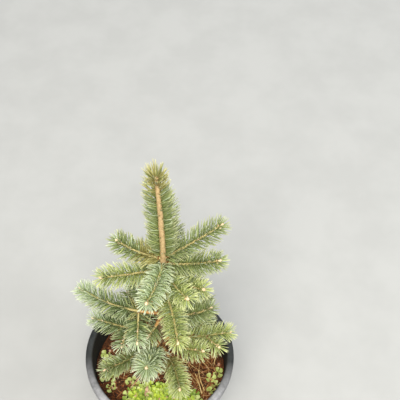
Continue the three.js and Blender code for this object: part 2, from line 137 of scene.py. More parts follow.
def dress(name, surface, material, stands_for, sharp_from):
    """A piece from a mesh or its arrays, with its material and the CAD nodes that it stands for.

    Edges look sharp where faces meet at more than sharp_from degrees, and none do where that is 0.
    """
    mesh = surface if isinstance(surface, bpy.types.Mesh) else make_mesh(name, *surface)
    mesh.polygons.foreach_set("use_smooth", np.ones(len(mesh.polygons), bool))
    if sharp_from:
        mesh.set_sharp_from_angle(angle=math.radians(sharp_from))
    mesh.materials.append(material)
    piece = bpy.data.objects.new(name, mesh)
    bpy.context.scene.collection.objects.link(piece)
    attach(piece, "root")
    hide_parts(*stands_for)
    print(name, "has", sum(len(face.vertices) - 2 for face in mesh.polygons), "triangles")


# %% [markdown]
# ## Surfaces on a grid
# Most surfaces here are a sheet of rows and columns, bent into a tube or a bowl by moving its points. The
# faces depend only on how many rows and columns there are. A pole, where a sheet closes to a point, gets
# one point and a fan of triangles, so that no face has an edge of no length.

# %% Surfaces on a grid
LATTICE = 256


def angles_round(count):
    """Angles spread evenly round a circle."""
    return np.linspace(0, 2 * math.pi, count, endpoint=False)


def circle(angle, radius=1.0):
    """Points of a flat circle at given angles, as X, Y and a Z of nothing."""
    return np.stack([radius * np.cos(angle), radius * np.sin(angle), 0 * angle], -1)


def closed_sheet(rings):
    """Points and faces of rings that are joined into a tube, with a pole at the middle of each end ring."""
    count, sides = rings.shape[:2]
    points = np.concatenate([rings.reshape(-1, 3), rings[:1].mean(1), rings[-1:].mean(1)])
    start = np.arange(count - 1)[:, None] * sides
    here = np.arange(sides)[None, :]
    after = (here + 1) % sides
    walls = np.stack([start + here, start + after, start + sides + after, start + sides + here], -1)
    last = (count - 1) * sides
    foot_pole, tip_pole = count * sides, count * sides + 1
    foot = np.stack([here[0] * 0 + foot_pole, after[0], here[0]], -1)
    tip = np.stack([here[0] * 0 + tip_pole, last + here[0], last + after[0]], -1)
    return points, [walls.reshape(-1, 4), foot, tip]


def join(parts):
    """Several pairs of points and faces as one pair, each part's faces counted on from the part before."""
    sizes = np.cumsum([0] + [len(points) for points, _ in parts])
    faces = {}
    for start, (_, sheets) in zip(sizes, parts):
        for sheet in sheets:
            faces.setdefault(sheet.shape[1], []).append(sheet + start)
    return np.concatenate([points for points, _ in parts]), [np.concatenate(same) for same in faces.values()]


def repeated(faces, copies, size):
    """The faces of many copies of a shape. Each copy's corners count on by the shape's number of points."""
    starts = (np.arange(copies) * size)[:, None, None]
    return [(sheet[None] + starts).reshape(-1, sheet.shape[1]) for sheet in faces]


def stacked(rows):
    """Rows of arrays as one long array for each column."""
    return [np.concatenate(column) for column in zip(*rows)]


def unit(vectors):
    """Vectors of length one in the same directions."""
    return vectors / np.linalg.norm(vectors, axis=-1, keepdims=True)


def lumps(x, y, size, seed, columns=LATTICE):
    """Smooth random hills from 0 to 1: random heights on a square lattice, blended by a smooth step."""
    table = np.random.default_rng(seed).random((columns, LATTICE))
    column, row = np.floor(x / size).astype(int), np.floor(y / size).astype(int)
    across = x / size - column
    along = y / size - row
    across = across * across * (3 - 2 * across)
    along = along * along * (3 - 2 * along)
    left, right = column % columns, (column + 1) % columns
    near, far = row % LATTICE, (row + 1) % LATTICE
    near_height = table[left, near] * (1 - across) + table[right, near] * across
    far_height = table[left, far] * (1 - across) + table[right, far] * across
    return near_height * (1 - along) + far_height * along


test_points, _ = closed_sheet(np.zeros((3, 5, 3)))
print("a tube of 3 rings of 5 has", len(test_points), "points")

# %% [markdown]
# ## Colours and nodes
# A colour is easiest to judge as it looks on a screen, so a small function turns screen values into the
# straight values that Blender works with. The other helpers place one node each and hand back its result,
# so that a material reads like a sum.

# %% Colours and nodes


def paint(red, green, blue):
    """A screen colour from 0 to 255 as straight light from 0 to 1: raised to the power that screens use."""
    screen = np.array([red, green, blue]) / 255
    light = np.where(screen <= 0.04045, screen / 12.92, ((screen + 0.055) / 1.055) ** 2.4)
    return (*[float(value) for value in light], 1.0)


def add_node(tree, kind, links=(), **settings):
    """A node with its settings. A link is an input's name or number, and an output socket or a value."""
    node = tree.nodes.new(kind)
    for key, value in settings.items():
        setattr(node, key, value)
    for target, source in links:
        if isinstance(source, bpy.types.NodeSocket):
            tree.links.new(node.inputs[target], source)
        else:
            node.inputs[target].default_value = source
    return node


def blend_colours(tree, share, first, second):
    """A colour that goes from the first to the second as the share goes from 0 to 1."""
    node = add_node(tree, "ShaderNodeMix", [(0, share), (6, first), (7, second)], data_type="RGBA")
    return node.outputs[2]


def stretch(tree, value, low, high, to_low=0.0, to_high=1.0):
    """A value moved from one range to another, and held at the new range's ends."""
    links = [(0, value), (1, low), (2, high), (3, to_low), (4, to_high)]
    return add_node(tree, "ShaderNodeMapRange", links, clamp=True).outputs[0]


def combine(tree, operation, first, second):
    """Two values made into one by an operation of the Math node."""
    return add_node(tree, "ShaderNodeMath", [(0, first), (1, second)], operation=operation).outputs[0]


def object_place(tree):
    """Each point's place in the object's own frame, in metres."""
    return add_node(tree, "ShaderNodeTexCoord").outputs["Object"]


def axis_value(tree, vector, axis):
    """One of a vector's three numbers."""
    return add_node(tree, "ShaderNodeSeparateXYZ", [(0, vector)]).outputs[axis]


def facing_way(tree):
    """The direction that the surface faces."""
    return add_node(tree, "ShaderNodeNewGeometry").outputs["Normal"]


def noise(tree, scale, detail=3.0, roughness=0.6):
    """Cloudy noise on Object coordinates."""
    links = [("Vector", object_place(tree)), ("Scale", scale), ("Detail", detail), ("Roughness", roughness)]
    return add_node(tree, "ShaderNodeTexNoise", links).outputs["Fac"]


print("white paint is", paint(255, 255, 255))

# %% [markdown]
# ## Shared effects
# Real surfaces vary: plastic gathers dust where it faces up, and peat and bark are mottled. Such an effect
# is a node group, built once and placed in each material with its own numbers. A group hands out colours
# and values only, and the shader stays in the material, where the export can read it.

# %% Mottle, dust and grain
COLOUR, NUMBER = "NodeSocketColor", "NodeSocketFloat"
GREY = (0.5, 0.5, 0.5, 1)
MOTTLE_EDGE = (0.38, 0.62)
DUST_FACING = (-0.3, 0.9)
DUST_ON_SIDES = 0.25
DUST_PATCH = (0.35, 0.7)
FINE_DETAIL = (6.0, 0.7)
GRAIN_SUM = (0.4, 1.6)


def new_group(name, inputs, outputs):
    """An empty shader group with named sockets. Each input is a label, a kind and a value."""
    group = bpy.data.node_groups.new(name, "ShaderNodeTree")
    for label, kind, value in inputs:
        group.interface.new_socket(label, in_out="INPUT", socket_type=kind).default_value = value
    for label, kind in outputs:
        group.interface.new_socket(label, in_out="OUTPUT", socket_type=kind)
    start = group.nodes.new("NodeGroupInput")
    end = group.nodes.new("NodeGroupOutput")
    return group, start.outputs, end.inputs


mottle, mottle_in, mottle_out = new_group(
    "mottle",
    [("Colour", COLOUR, GREY), ("Other Colour", COLOUR, GREY), ("Scale", NUMBER, 100.0)],
    [("Colour", COLOUR)],
)
mottle_share = stretch(mottle, noise(mottle, mottle_in["Scale"]), *MOTTLE_EDGE)
mottle.links.new(mottle_out["Colour"], blend_colours(mottle, mottle_share, mottle_in[0], mottle_in[1]))

dust, dust_in, dust_out = new_group(
    "dust",
    [("Colour", COLOUR, GREY), ("Dust", COLOUR, GREY), ("Amount", NUMBER, 0.5), ("Scale", NUMBER, 60.0),
     ("Clean Roughness", NUMBER, 0.45), ("Dusty Roughness", NUMBER, 0.9)],
    [("Colour", COLOUR), ("Roughness", NUMBER)],
)
dust_lies = stretch(dust, axis_value(dust, facing_way(dust), "Z"), *DUST_FACING, DUST_ON_SIDES, 1.0)
dust_patches = stretch(dust, noise(dust, dust_in["Scale"], *FINE_DETAIL), *DUST_PATCH)
dust_mask = combine(dust, "MULTIPLY", combine(dust, "MULTIPLY", dust_lies, dust_patches), dust_in["Amount"])
dust.links.new(dust_out["Colour"], blend_colours(dust, dust_mask, dust_in[0], dust_in[1]))
dust_rough = stretch(dust, dust_mask, 0.0, 1.0, dust_in["Clean Roughness"], dust_in["Dusty Roughness"])
dust.links.new(dust_out["Roughness"], dust_rough)

grain, grain_in, grain_out = new_group(
    "grain",
    [("Scale", NUMBER, 400.0), ("Fine Scale", NUMBER, 1500.0)],
    [("Height", NUMBER)],
)
grain_sum = combine(grain, "ADD", noise(grain, grain_in[0]), noise(grain, grain_in[1]))
grain.links.new(grain_out["Height"], stretch(grain, grain_sum, *GRAIN_SUM))
print("shared effects:", mottle.name, dust.name, grain.name)

# %% [markdown]
# Many pieces need no more than two tones in clouds, with a fine grain as a bump. One function makes such a
# material, and the pot, the peat and the bark, which need more, start from its parts.

# %% Materials


def new_material(name, roughness, specular):
    """A material with its Principled shader, whose constant numbers stand on the shader's own sockets."""
    material = bpy.data.materials.new(name)
    material.use_nodes = True
    tree = material.node_tree
    shader = tree.nodes["Principled BSDF"]
    shader.inputs["Roughness"].default_value = roughness
    shader.inputs["Specular IOR Level"].default_value = specular
    return material, tree, shader


def place_group(tree, group, **values):
    """A group's node in a material. Underscores in a value's name stand for spaces in the socket's."""
    links = [(label.replace("_", " "), value) for label, value in values.items()]
    return add_node(tree, "ShaderNodeGroup", links, node_tree=group)


def clouds(tree, tone, other, scale):
    """Two colours in clouds. Each is a screen colour, or the result of another node."""
    tones = [value if isinstance(value, bpy.types.NodeSocket) else paint(*value) for value in (tone, other)]
    return place_group(tree, mottle, Colour=tones[0], Other_Colour=tones[1], Scale=scale).outputs[0]


def add_grain(tree, shader, scale, fine_scale, strength, depth):
    """Fine relief from the grain group, as a bump. The depth is in metres."""
    height = place_group(tree, grain, Scale=scale, Fine_Scale=fine_scale).outputs[0]
    links = [("Strength", strength), ("Distance", depth), ("Height", height)]
    tree.links.new(shader.inputs["Normal"], add_node(tree, "ShaderNodeBump", links).outputs[0])


def two_tone(name, tone, other, scale, roughness, specular, relief=()):
    """A material of two screen colours in clouds. The relief holds the four numbers of add_grain."""
    material, tree, shader = new_material(name, roughness, specular)
    tree.links.new(shader.inputs["Base Color"], clouds(tree, tone, other, scale))
    if relief:
        add_grain(tree, shader, *relief)
    return material


print("helpers for materials are ready")

# %% [markdown]
# ## Floor
# The plant stands on a pale floor. It is a stage and no part of the plant, so it may be plain, but a faint
# mottle keeps it from looking like paper. A wide disc shows no corner from any side.

# %% Floor
FLOOR_RADIUS = 6000
FLOOR_SIDES = 96
floor_rim = circle(angles_round(FLOOR_SIDES)) * FLOOR_RADIUS
floor = bpy.data.objects.new("floor", make_mesh("floor", floor_rim, [np.arange(FLOOR_SIDES)[None]]))
floor.data.materials.append(two_tone("pale_floor", (178, 177, 173), (173, 172, 168), 9.0, 0.75, 0.5))
bpy.context.scene.collection.objects.link(floor)
print("floor is", 2 * FLOOR_RADIUS * MM, "metres wide")

# %% [markdown]
# ## Pot
# A nursery pot is moulded in thin plastic and turned about its axis: a tapering wall, a shoulder where the
# wider collar starts, and a thick rolled lip. It could be a lathe modifier on a drawn curve. Here the
# profile is a list of corners whose edges are rounded by small curves, because the solid is made from the
# same corners.

# %% Pot profile
POT_HEIGHT = 200
RIM_RADIUS = 112.5
BASE_RADIUS = 82
BASE_BEVEL = 3
FOOT_RADIUS = BASE_RADIUS - BASE_BEVEL
FOOT_RING = 8
POT_WALL = 2.4
POT_FLOOR = 4
LIP_WIDTH = 11
LIP_HEIGHT = 14
SHOULDER_HEIGHT = 128
SHOULDER_RISE = 4
SHOULDER_STEP = 2
COLLAR_TAPER = 2
COLLAR_FOOT = SHOULDER_HEIGHT + SHOULDER_RISE
LIP_FOOT = POT_HEIGHT - LIP_HEIGHT
COLLAR_TOP_RADIUS = RIM_RADIUS - LIP_WIDTH + POT_WALL
AXIS_RADIUS = 0.5
OUTSIDE_CORNERS = [(BASE_BEVEL, 2), (SHOULDER_HEIGHT, 1.2), (COLLAR_FOOT, 1.2), (LIP_FOOT, 0.8)]
INSIDE_CORNERS = [
    (POT_HEIGHT, 3.4), (LIP_FOOT, 1.5), (COLLAR_FOOT, 1.2), (SHOULDER_HEIGHT, 1.2), (POT_FLOOR, 2),
]
CORNER_STEPS = 6


def pot_radius(height):
    """The outside of the pot's wall at a height, straight between the shoulder and the two ends."""
    heights = [0, SHOULDER_HEIGHT, COLLAR_FOOT, LIP_FOOT]
    collar = COLLAR_TOP_RADIUS - COLLAR_TAPER
    return np.interp(height, heights, [BASE_RADIUS, collar - SHOULDER_STEP, collar, COLLAR_TOP_RADIUS])


def inner(height):
    """The inside of the pot's wall at a height."""
    return float(pot_radius(height)) - POT_WALL


def round_corners(corners):
    """A profile from corners, each a radius, a height and a rounding.

    A corner is cut back along both edges by its rounding, and a curve bridges the cut.
    """
    corners = np.array(corners, float)
    place, rounding = corners[:, :2], corners[:, 2:]
    before = unit(np.roll(place, 1, 0) - place) * rounding
    after = unit(np.roll(place, -1, 0) - place) * rounding
    before[0] = after[-1] = before[-1] = after[0] = 0
    t = np.linspace(0, 1, CORNER_STEPS)[None, :, None]
    bent = place[:, None] + before[:, None] * (1 - t) ** 2 + after[:, None] * t**2
    flat = bent.reshape(-1, 2)
    keep = np.concatenate([[True], np.linalg.norm(np.diff(flat, axis=0), axis=1) > 1e-6])
    return flat[keep]


pot_profile = round_corners([
    (AXIS_RADIUS, 0, 0), (FOOT_RADIUS - FOOT_RING, 0, 0.5), (FOOT_RADIUS, 0, 2),
    *[(pot_radius(height), height, rounding) for height, rounding in OUTSIDE_CORNERS],
    (RIM_RADIUS, LIP_FOOT, 1.8), (RIM_RADIUS, POT_HEIGHT, 4.6),
    *[(inner(height), height, rounding) for height, rounding in INSIDE_CORNERS],
    (AXIS_RADIUS, POT_FLOOR, 0),
])
print("pot profile has", len(pot_profile), "points")

# %% [markdown]
# The base has six drain holes. A Boolean modifier cuts them, because a hole through a turned surface is
# hard to write as a grid, and its result is taken as the piece's own mesh at once.

# %% Pot with its drain holes
POT_AROUND = 144
POT_WOBBLE = 0.25
DRAIN_HOLES = 6
DRAIN_RADIUS = 5.5
DRAIN_CIRCLE = 58
PIN_SIDES = 24


def turned(profile, sides, wobble):
    """Rings of a profile turned about the Z axis. The wobble makes the circle a little oval and wavy."""
    angle = angles_round(sides)[None, :]
    wave = np.cos(2 * angle + 0.6) + 0.4 * np.cos(5 * angle)
    radius = profile[:, :1] + wobble * wave * profile[:, :1] / RIM_RADIUS
    height = np.broadcast_to(profile[:, 1:], radius.shape)
    return np.stack([radius * np.cos(angle), radius * np.sin(angle), height], -1)


def drain_pins():
    """One closed pin for each hole: two rings of points, one under the floor and one over it."""
    ring = circle(angles_round(PIN_SIDES), DRAIN_RADIUS)
    pin = np.stack([ring - [0, 0, POT_FLOOR + 1], ring + [0, 0, 2.5 * POT_FLOOR]])
    return join([closed_sheet(pin + place) for place in circle(angles_round(DRAIN_HOLES), DRAIN_CIRCLE)])


def cut(body_surface, pin_surface):
    """A mesh from which other closed shapes are taken away by a Boolean modifier."""
    body = bpy.data.objects.new("body", make_mesh("body", *body_surface))
    cutter = bpy.data.objects.new("cutter", make_mesh("cutter", *pin_surface))
    for thing in (body, cutter):
        bpy.context.scene.collection.objects.link(thing)
    modifier = body.modifiers.new("drain holes", "BOOLEAN")
    modifier.object = cutter
    modifier.operation = "DIFFERENCE"
    modifier.solver = "EXACT"
    result = bpy.data.meshes.new_from_object(body.evaluated_get(bpy.context.evaluated_depsgraph_get()))
    for thing in (body, cutter):
        bpy.data.objects.remove(thing)
    return result


pot_mesh = cut(closed_sheet(turned(pot_profile, POT_AROUND, POT_WOBBLE)), drain_pins())
print("pot has", len(pot_mesh.vertices), "points with its holes")

# %% [markdown]
# Dust lies on the lip. The lip's front is painted pale grey in patches as a painted highlight, and the inside
# is painted dark brown, partly for a film of soil and partly as painted shade. A point is on the inside where
# the surface faces back towards the pot's axis.

# %% Pot plastic
LIP_HIGHLIGHT_DEPTH = 5
LIP_HIGHLIGHT_FROM, LIP_HIGHLIGHT_FULL = -10, -85
LIP_HIGHLIGHT_PATCHES = (0.25, 0.6, 0.35, 1.0)
SOIL_ROUGHNESS = 0.95
FLAT = (1, 1, 0)


def facing_out(tree, place):
    """How far the surface faces away from the Z axis: the place without its height, times the facing way."""
    level = add_node(tree, "ShaderNodeVectorMath", [(0, place), (1, FLAT)], operation="MULTIPLY").outputs[0]
    links = [(0, level), (1, facing_way(tree))]
    return add_node(tree, "ShaderNodeVectorMath", links, operation="DOT_PRODUCT").outputs["Value"]


def pot_plastic():
    """Black plastic with dust, a painted highlight on the lip's front, and soil and painted shade inside."""
    material, tree, shader = new_material("dusty_pot_plastic", 0.5, 0.3)
    dusty = place_group(
        tree, dust, Colour=clouds(tree, (26, 28, 28), (34, 36, 35), 35.0), Dust=paint(80, 82, 80),
        Amount=0.36, Scale=55.0, Clean_Roughness=0.38, Dusty_Roughness=0.8,
    )
    place = object_place(tree)
    # A painted highlight: the top of the lip is lightened to pale grey towards the front, in patches.
    lip = stretch(tree, axis_value(tree, place, "Z"), LIP_FOOT * MM, (LIP_FOOT + LIP_HIGHLIGHT_DEPTH) * MM)
    front = stretch(tree, axis_value(tree, place, "Y"), LIP_HIGHLIGHT_FROM * MM, LIP_HIGHLIGHT_FULL * MM)
    highlight_patches = stretch(tree, noise(tree, 90.0, *FINE_DETAIL), *LIP_HIGHLIGHT_PATCHES)
    painted_highlight = combine(tree, "MULTIPLY", combine(tree, "MULTIPLY", lip, front), highlight_patches)
    dust_and_highlight = blend_colours(tree, painted_highlight, dusty.outputs["Colour"], paint(172, 170, 171))
    # Painted dark brown where the surface faces the axis: a film of soil, and painted shade inside the pot.
    inside = stretch(tree, facing_out(tree, place), 0.0, -0.1)
    tree.links.new(shader.inputs["Base Color"], blend_colours(tree, inside, dust_and_highlight, paint(36, 34, 27)))
    rough = stretch(tree, inside, 0.0, 1.0, dusty.outputs["Roughness"], SOIL_ROUGHNESS)
    tree.links.new(shader.inputs["Roughness"], rough)
    add_grain(tree, shader, 180.0, 1400.0, 0.35, 0.0006)
    return material


dress("pot_shell", pot_mesh, pot_plastic(), ["pot"], 50)

# %% [markdown]
# ## Compost
# The pot is filled to 48 mm under its rim with coarse peat. Its surface rolls in low waves, as in the
# solid, and is broken into crumbs of every size. The large ones are hills in the surface itself, and the
# small ones lie on it as loose lumps, because a surface alone has no undersides and no shadows between
# crumbs.

# %% Compost body
COMPOST_TOP = 152
COMPOST_WAVE = 1.8
COMPOST_WAVE_LENGTHS = (103, 76, 48)
COMPOST_FLAT = 14
COMPOST_BOTTOM = POT_FLOOR + 0.3
COMPOST_CLEAR = 0.45
COMPOST_EDGE = 147
COMPOST_RADIUS = inner(COMPOST_EDGE) - COMPOST_CLEAR
COMPOST_AROUND, COMPOST_RINGS = 240, 78
LARGE_HILL, SMALL_HILL, SMALL_HILL_SHARE = 5.5, 2.6, 0.7
HILL_RELIEF = 1.3


def ground(x, y):
    """The compost's height: the solid's long waves, which fade round the trunk, and hills of two sizes."""
    across, along, slanting = [2 * math.pi / length for length in COMPOST_WAVE_LENGTHS]
    wide = np.sin(across * x + 1) * np.cos(along * y)
    narrow = np.sin(slanting * (x - y) + 2) / 2
    t = np.clip((np.hypot(x, y) - COMPOST_FLAT) / (2 * COMPOST_FLAT), 0, 1)
    waves = COMPOST_WAVE * (wide + narrow) * t * t * (3 - 2 * t)
    hills = lumps(x, y, LARGE_HILL, 3) + SMALL_HILL_SHARE * lumps(x, y, SMALL_HILL, 4)
    return COMPOST_TOP + waves + HILL_RELIEF * (hills - (1 + SMALL_HILL_SHARE) / 2)


def compost_body():
    """The filling: a flat bottom, a side that follows the pot's inside, and a top on rings and spokes."""
    angle = angles_round(COMPOST_AROUND)[None, :]
    heights = np.array([COMPOST_BOTTOM, SHOULDER_HEIGHT, COLLAR_FOOT, COMPOST_EDGE - 0.5])
    side = np.array([inner(height) for height in heights]) - COMPOST_CLEAR
    radius = np.concatenate([side, np.linspace(COMPOST_RADIUS, 0.6, COMPOST_RINGS)])[:, None]
    x, y = radius * np.cos(angle), radius * np.sin(angle)
    top = len(heights)
    z = np.concatenate([heights[:, None] + 0 * angle, ground(x[top:], y[top:])])
    return closed_sheet(np.stack([x, y, z], -1))


def moist_peat():
    """Peat in two browns, with dark specks over both."""
    material, tree, shader = new_material("moist_peat", 0.92, 0.25)
    browns = clouds(tree, (78, 44, 22), (128, 74, 38), 70.0)
    tree.links.new(shader.inputs["Base Color"], clouds(tree, browns, (52, 32, 19), 320.0))
    add_grain(tree, shader, 420.0, 1300.0, 0.8, 0.0012)
    return material


dress("compost_body", compost_body(), moist_peat(), ["compost"], 0)

# %% [markdown]
# ## Many copies of one small shape
# Loose crumbs, leaves and bud scales are one small shape each, set down hundreds of times with its own
# place, turn and size. A copy needs three directions (forwards, sideways and upwards), and one product of
# arrays then gives the points of all the copies.

# %% Many copies of one small shape
CRUMB_EDGE = 3
CRUMB_SHAPE = (0.6, 1.25)
CRUMBS = {
    "red_crumbs": (1500, 0.6, 2.6, 21, (156, 88, 46), (112, 62, 33)),
    "dark_crumbs": (1300, 0.6, 3.2, 22, (54, 34, 24), (78, 48, 32)),
    "tan_crumbs": (480, 0.5, 2.0, 23, (176, 134, 86), (142, 102, 62)),
}


def axes_from(forward, upward):
    """Three directions square to each other, from one to go forwards and one that is roughly upwards."""
    forward = unit(forward)
    sideways = unit(np.cross(upward, forward))
    return np.stack([forward, sideways, np.cross(forward, sideways)], 1)


def strew(shape, centres, axes, sizes):
    """Copies of a shape. Each point's numbers, times the copy's sizes and directions, go on its centre."""
    points, faces = shape
    spread = np.einsum("ik,nkj->nij", points, axes * sizes[:, :, None]) + centres[:, None, :]
    return spread.reshape(-1, 3), repeated(faces, len(centres), len(points))


def lump_shape():
    """A rounded lump of sixteen triangles: two rings of four points, turned apart, between two poles."""
    angle = angles_round(4)
    points, faces = closed_sheet(np.stack([circle(angle, 0.85), circle(angle + 0.7, 0.8)]))
    points[:, 2] = [-0.45] * 4 + [0.45] * 4 + [-0.95, 0.95]
    return points, faces


def scatter_disc(count, radius, random):
    """Random places on a disc, as even as its area."""
    distance = radius * np.sqrt(random.random(count))
    angle = random.random(count) * 2 * math.pi
    return distance * np.cos(angle), distance * np.sin(angle)


def crumb_layer(count, smallest, largest, seed):
    """Loose crumbs on the ground, each turned at random, with many small ones for one that is large."""
    random = np.random.default_rng(seed)
    x, y = scatter_disc(count, COMPOST_RADIUS - CRUMB_EDGE, random)
    size = smallest * (largest / smallest) ** (random.random(count) ** 2.2)
    sizes = size[:, None] * random.uniform(*CRUMB_SHAPE, (count, 3))
    centres = np.stack([x, y, ground(x, y) + 0.25 * size], -1)
    axes = axes_from(random.normal(size=(count, 3)), random.normal(size=(count, 3)))
    return strew(lump_shape(), centres, axes, sizes)


for crumb_name, (*layer, tone, other_tone) in CRUMBS.items():
    crumb_skin = two_tone(crumb_name, tone, other_tone, 260.0, 0.9, 0.25, (900.0, 2200.0, 0.6, 0.0005))
    dress(crumb_name, crumb_layer(*layer), crumb_skin, (), 0)

# %% [markdown]
# ## The tree's lines
# The solids were grown from a few lines: the trunk's, and one for each limb, which leaves the trunk at a
# height and a bearing and bows a little. The same lines are written again here, so that bark and needles
# lie where the solids are. A line is kept as samples with their distances, and any place on it is read
# between them.

# %% The tree's lines
UP = np.array([0.0, 0.0, 1.0])
TRUNK_FOOT = COMPOST_TOP + 0.3
TRUNK_TOP = 636
TRUNK_HEIGHTS = np.array([TRUNK_FOOT, 240, 329, 472, 560, TRUNK_TOP])
TRUNK_LEAN = np.array([0, 1.5, 4.5, 9.5, 8.2, 4.8])
TRUNK_BACK = np.array([0, 1.0, 0, -1.0, 0, 1.0])
TRUNK_RADII = np.array([7.4, 6.0, 4.7, 3.7, 3.4, 2.4])
TRUNK_BEND = 0.4
ROOT_FLARE = 3.2
FLARE_FADE = 9
BOW_SAMPLES = 201


def measured(points):
    """A line as its points and each point's distance from the start."""
    steps = np.linalg.norm(np.diff(points, axis=0), axis=1)
    return points, np.concatenate([[0], np.cumsum(steps)])


def walk(line, distances):
    """Places and directions at distances along a line."""
    points, along = line

    def read(values):
        """Values that belong to the line's points, read between them."""
        return np.stack([np.interp(distances, along, values[:, k]) for k in range(3)], -1)

    return read(points), unit(read(np.gradient(points, along, axis=0)))


def smooth_line(stations, bend, samples):
    """A curve through stations. Its slope at each is the bend times the step between the two beside it."""
    first = 2 * stations[:1] - stations[1:2]
    last = 2 * stations[-1:] - stations[-2:-1]
    padded = np.concatenate([first, stations, last])
    slopes = bend * (padded[2:] - padded[:-2])
    t = np.linspace(0, 1, samples, endpoint=False)[None, :, None]
    start, end = stations[:-1, None], stations[1:, None]
    leave, arrive = slopes[:-1, None], slopes[1:, None]
    curve = (2 * t**3 - 3 * t**2 + 1) * start + (t**3 - 2 * t**2 + t) * leave
    curve = curve + (3 * t**2 - 2 * t**3) * end + (t**3 - t**2) * arrive
    return np.concatenate([curve.reshape(-1, 3), stations[-1:]])


trunk_samples = smooth_line(np.stack([TRUNK_LEAN, TRUNK_BACK, TRUNK_HEIGHTS], -1), TRUNK_BEND, 60)


def trunk_point(height):
    """Where the trunk's middle line passes at a height."""
    x, y = [np.interp(height, trunk_samples[:, 2], trunk_samples[:, k]) for k in (0, 1)]
    return np.stack([x, y, np.asarray(height, float)], -1)


def trunk_radius(height):
    """Half the trunk's thickness at a height, with the flare at its foot, which fades upwards."""
    flare = ROOT_FLARE * np.exp(-(np.asarray(height) - COMPOST_TOP) / FLARE_FADE)
    return np.interp(height, TRUNK_HEIGHTS, TRUNK_RADII) + flare


def bowed_line(root, bearing, rise, length, sag, sweep=0):
    """A bow from a root. Its middle hangs by the sag, and stands by the sweep to the left."""
    bearing, rise = math.radians(bearing), math.radians(rise)
    outward = np.array([math.cos(bearing), math.sin(bearing), 0])
    left = np.cross(UP, outward)
    chord = outward * math.cos(rise) + UP * math.sin(rise)
    middle = root + chord * length / 2 - UP * 2 * sag + left * 2 * sweep
    t = np.linspace(0, 1, BOW_SAMPLES)[:, None]
    return measured(root * (1 - t) ** 2 + middle * 2 * t * (1 - t) + (root + chord * length) * t**2)


print("trunk is", round(float(np.ptp(trunk_samples[:, 2]))), "mm tall")

# %% [markdown]
# ## Limbs
# Each row of the table is one side shoot as the photograph shows it. The height and bearing say where it
# leaves the trunk (0 is right, 90 is back), the rise how steeply it climbs, the reach how far it goes, the
# sag how low its middle hangs, and the tint which colour most of its needles have, a colour that also
# paints the light or shade that falls on the shoot. The rest is written only where a shoot differs from the
# usual one.
#
# `sweep` bows it to its left. `bare` is how much of it is wood without needles, and along `thin` after that
# they are few. `twigs` is how many side twigs a seeded rule adds, and `forks` are side twigs that show.
# `dense` and `long` raise the number and length of needles. `lean` and `tip_lean` are their angles to the
# stem, and `curl` bends them. `parting` combs them away from its top, or towards it where it is below 0.
# `crowded` puts more of them on the tip, from `tip_from` on, and `blunt` shortens those there. `open_front`
# bares the front of an upright stem, and needles up to `dry` have dried to a tawny colour.

# %% Limbs
USUAL_SHOOT = dict(
    sweep=0, bare=None, thin=0, twigs=0, forks=[], dense=1, long=1, lean=65, tip_lean=50, curl=1,
    parting=0.45, crowded=1, tip_from=0.93, blunt=0.3, open_front=0, dry=-1,
)
ROW_SIZES = ("height", "bearing", "rise", "reach", "sag")


def shoot(name, tint, *sizes, **special):
    """A side shoot: its name, tint and five sizes, and the usual values where nothing special is given."""
    return dict(USUAL_SHOOT, name=name, tint=tint, **dict(zip(ROW_SIZES, sizes)), **special)


LEFT_FORK = dict(along=0.03, turn=94, rise=-10, reach=43)
LOW_LEFT_FORK = dict(along=0.27, turn=86, rise=-4, reach=27)
LIMBS = [
    shoot("top_right", "sage", 475, 20, 28, 95, 2, parting=0.2),
    shoot("top_back", "sage", 471, 88, 33, 84, 3),
    shoot("top_left_back", "sage", 475, 175, 27, 73, 7, dense=1.25, dry=0.45),
    shoot("top_left", "straw", 451, 202, 16, 92, 2, dense=1.2, parting=0),
    shoot("top_front", "silver", 467, 259, 20, 91, 2, sweep=2),
    shoot("top_right_low", "sage", 465, 353, 18, 84, 5, dense=1.2, parting=-0.2),
    shoot("upper_front", "straw", 444, 303, 20, 75, 3),
    shoot("upper_right", "straw", 430, 332, 18, 73, 4, parting=0),
    shoot("upper_front_low", "straw", 413, 285, 7, 104, 4, sweep=3),
    shoot("upper_back", "sage", 438, 78, 24, 72, 3),
    shoot("upper_back_left", "sage", 424, 128, 20, 60, 3),
    shoot("upper_back_right", "blue", 405, 58, 16, 74, 4),
    shoot("middle_right", "sage", 335, 358, 14, 80, 7, sweep=-4, bare=15),
    shoot("middle_left", "blue", 330, 171, 14, 126, 4, sweep=7, bare=24, thin=14, dense=1.25, dry=0.1,
          forks=[LEFT_FORK]),
    shoot("middle_back", "blue", 327, 102, 20, 92, 4, bare=18, twigs=1),
    shoot("middle_back_right", "sage", 334, 60, 18, 94, 5, bare=20, twigs=2),
    shoot("middle_front", "sage", 318, 243, 0, 46, 2, bare=11),
    shoot("middle_back_left", "blue", 339, 139, 16, 68, 3, bare=15),
    shoot("low_right", "straw", 248, 2, 12, 113, 4, bare=26, twigs=2),
    shoot("low_left", "blue", 258, 174, 16, 111, 3, bare=26, forks=[LOW_LEFT_FORK]),
    shoot("low_front_left", "sage", 239, 216, 8, 104, 4, bare=22, dense=1.4, parting=-0.1, lean=56),
    shoot("low_front", "silver", 249, 257, 31, 89, 5, bare=15, dense=1.9, long=1.2, lean=72, tip_lean=58,
          curl=2.6, parting=0, crowded=2),
    shoot("low_front_right", "straw", 233, 293, 8, 94, 3, sweep=5, bare=20, dense=1.9, long=1.08, lean=54,
          tip_lean=46, parting=0, dry=0.2),
    shoot("low_right_front", "straw", 239, 337, 22, 84, 4, bare=20),
    shoot("low_back_left", "sage", 240, 128, 15, 98, 5, bare=24, twigs=2),
    shoot("low_back", "blue", 248, 86, 12, 110, 5, bare=26, twigs=2),
    shoot("low_back_right", "sage", 240, 44, 12, 106, 5, bare=24, twigs=2),
]
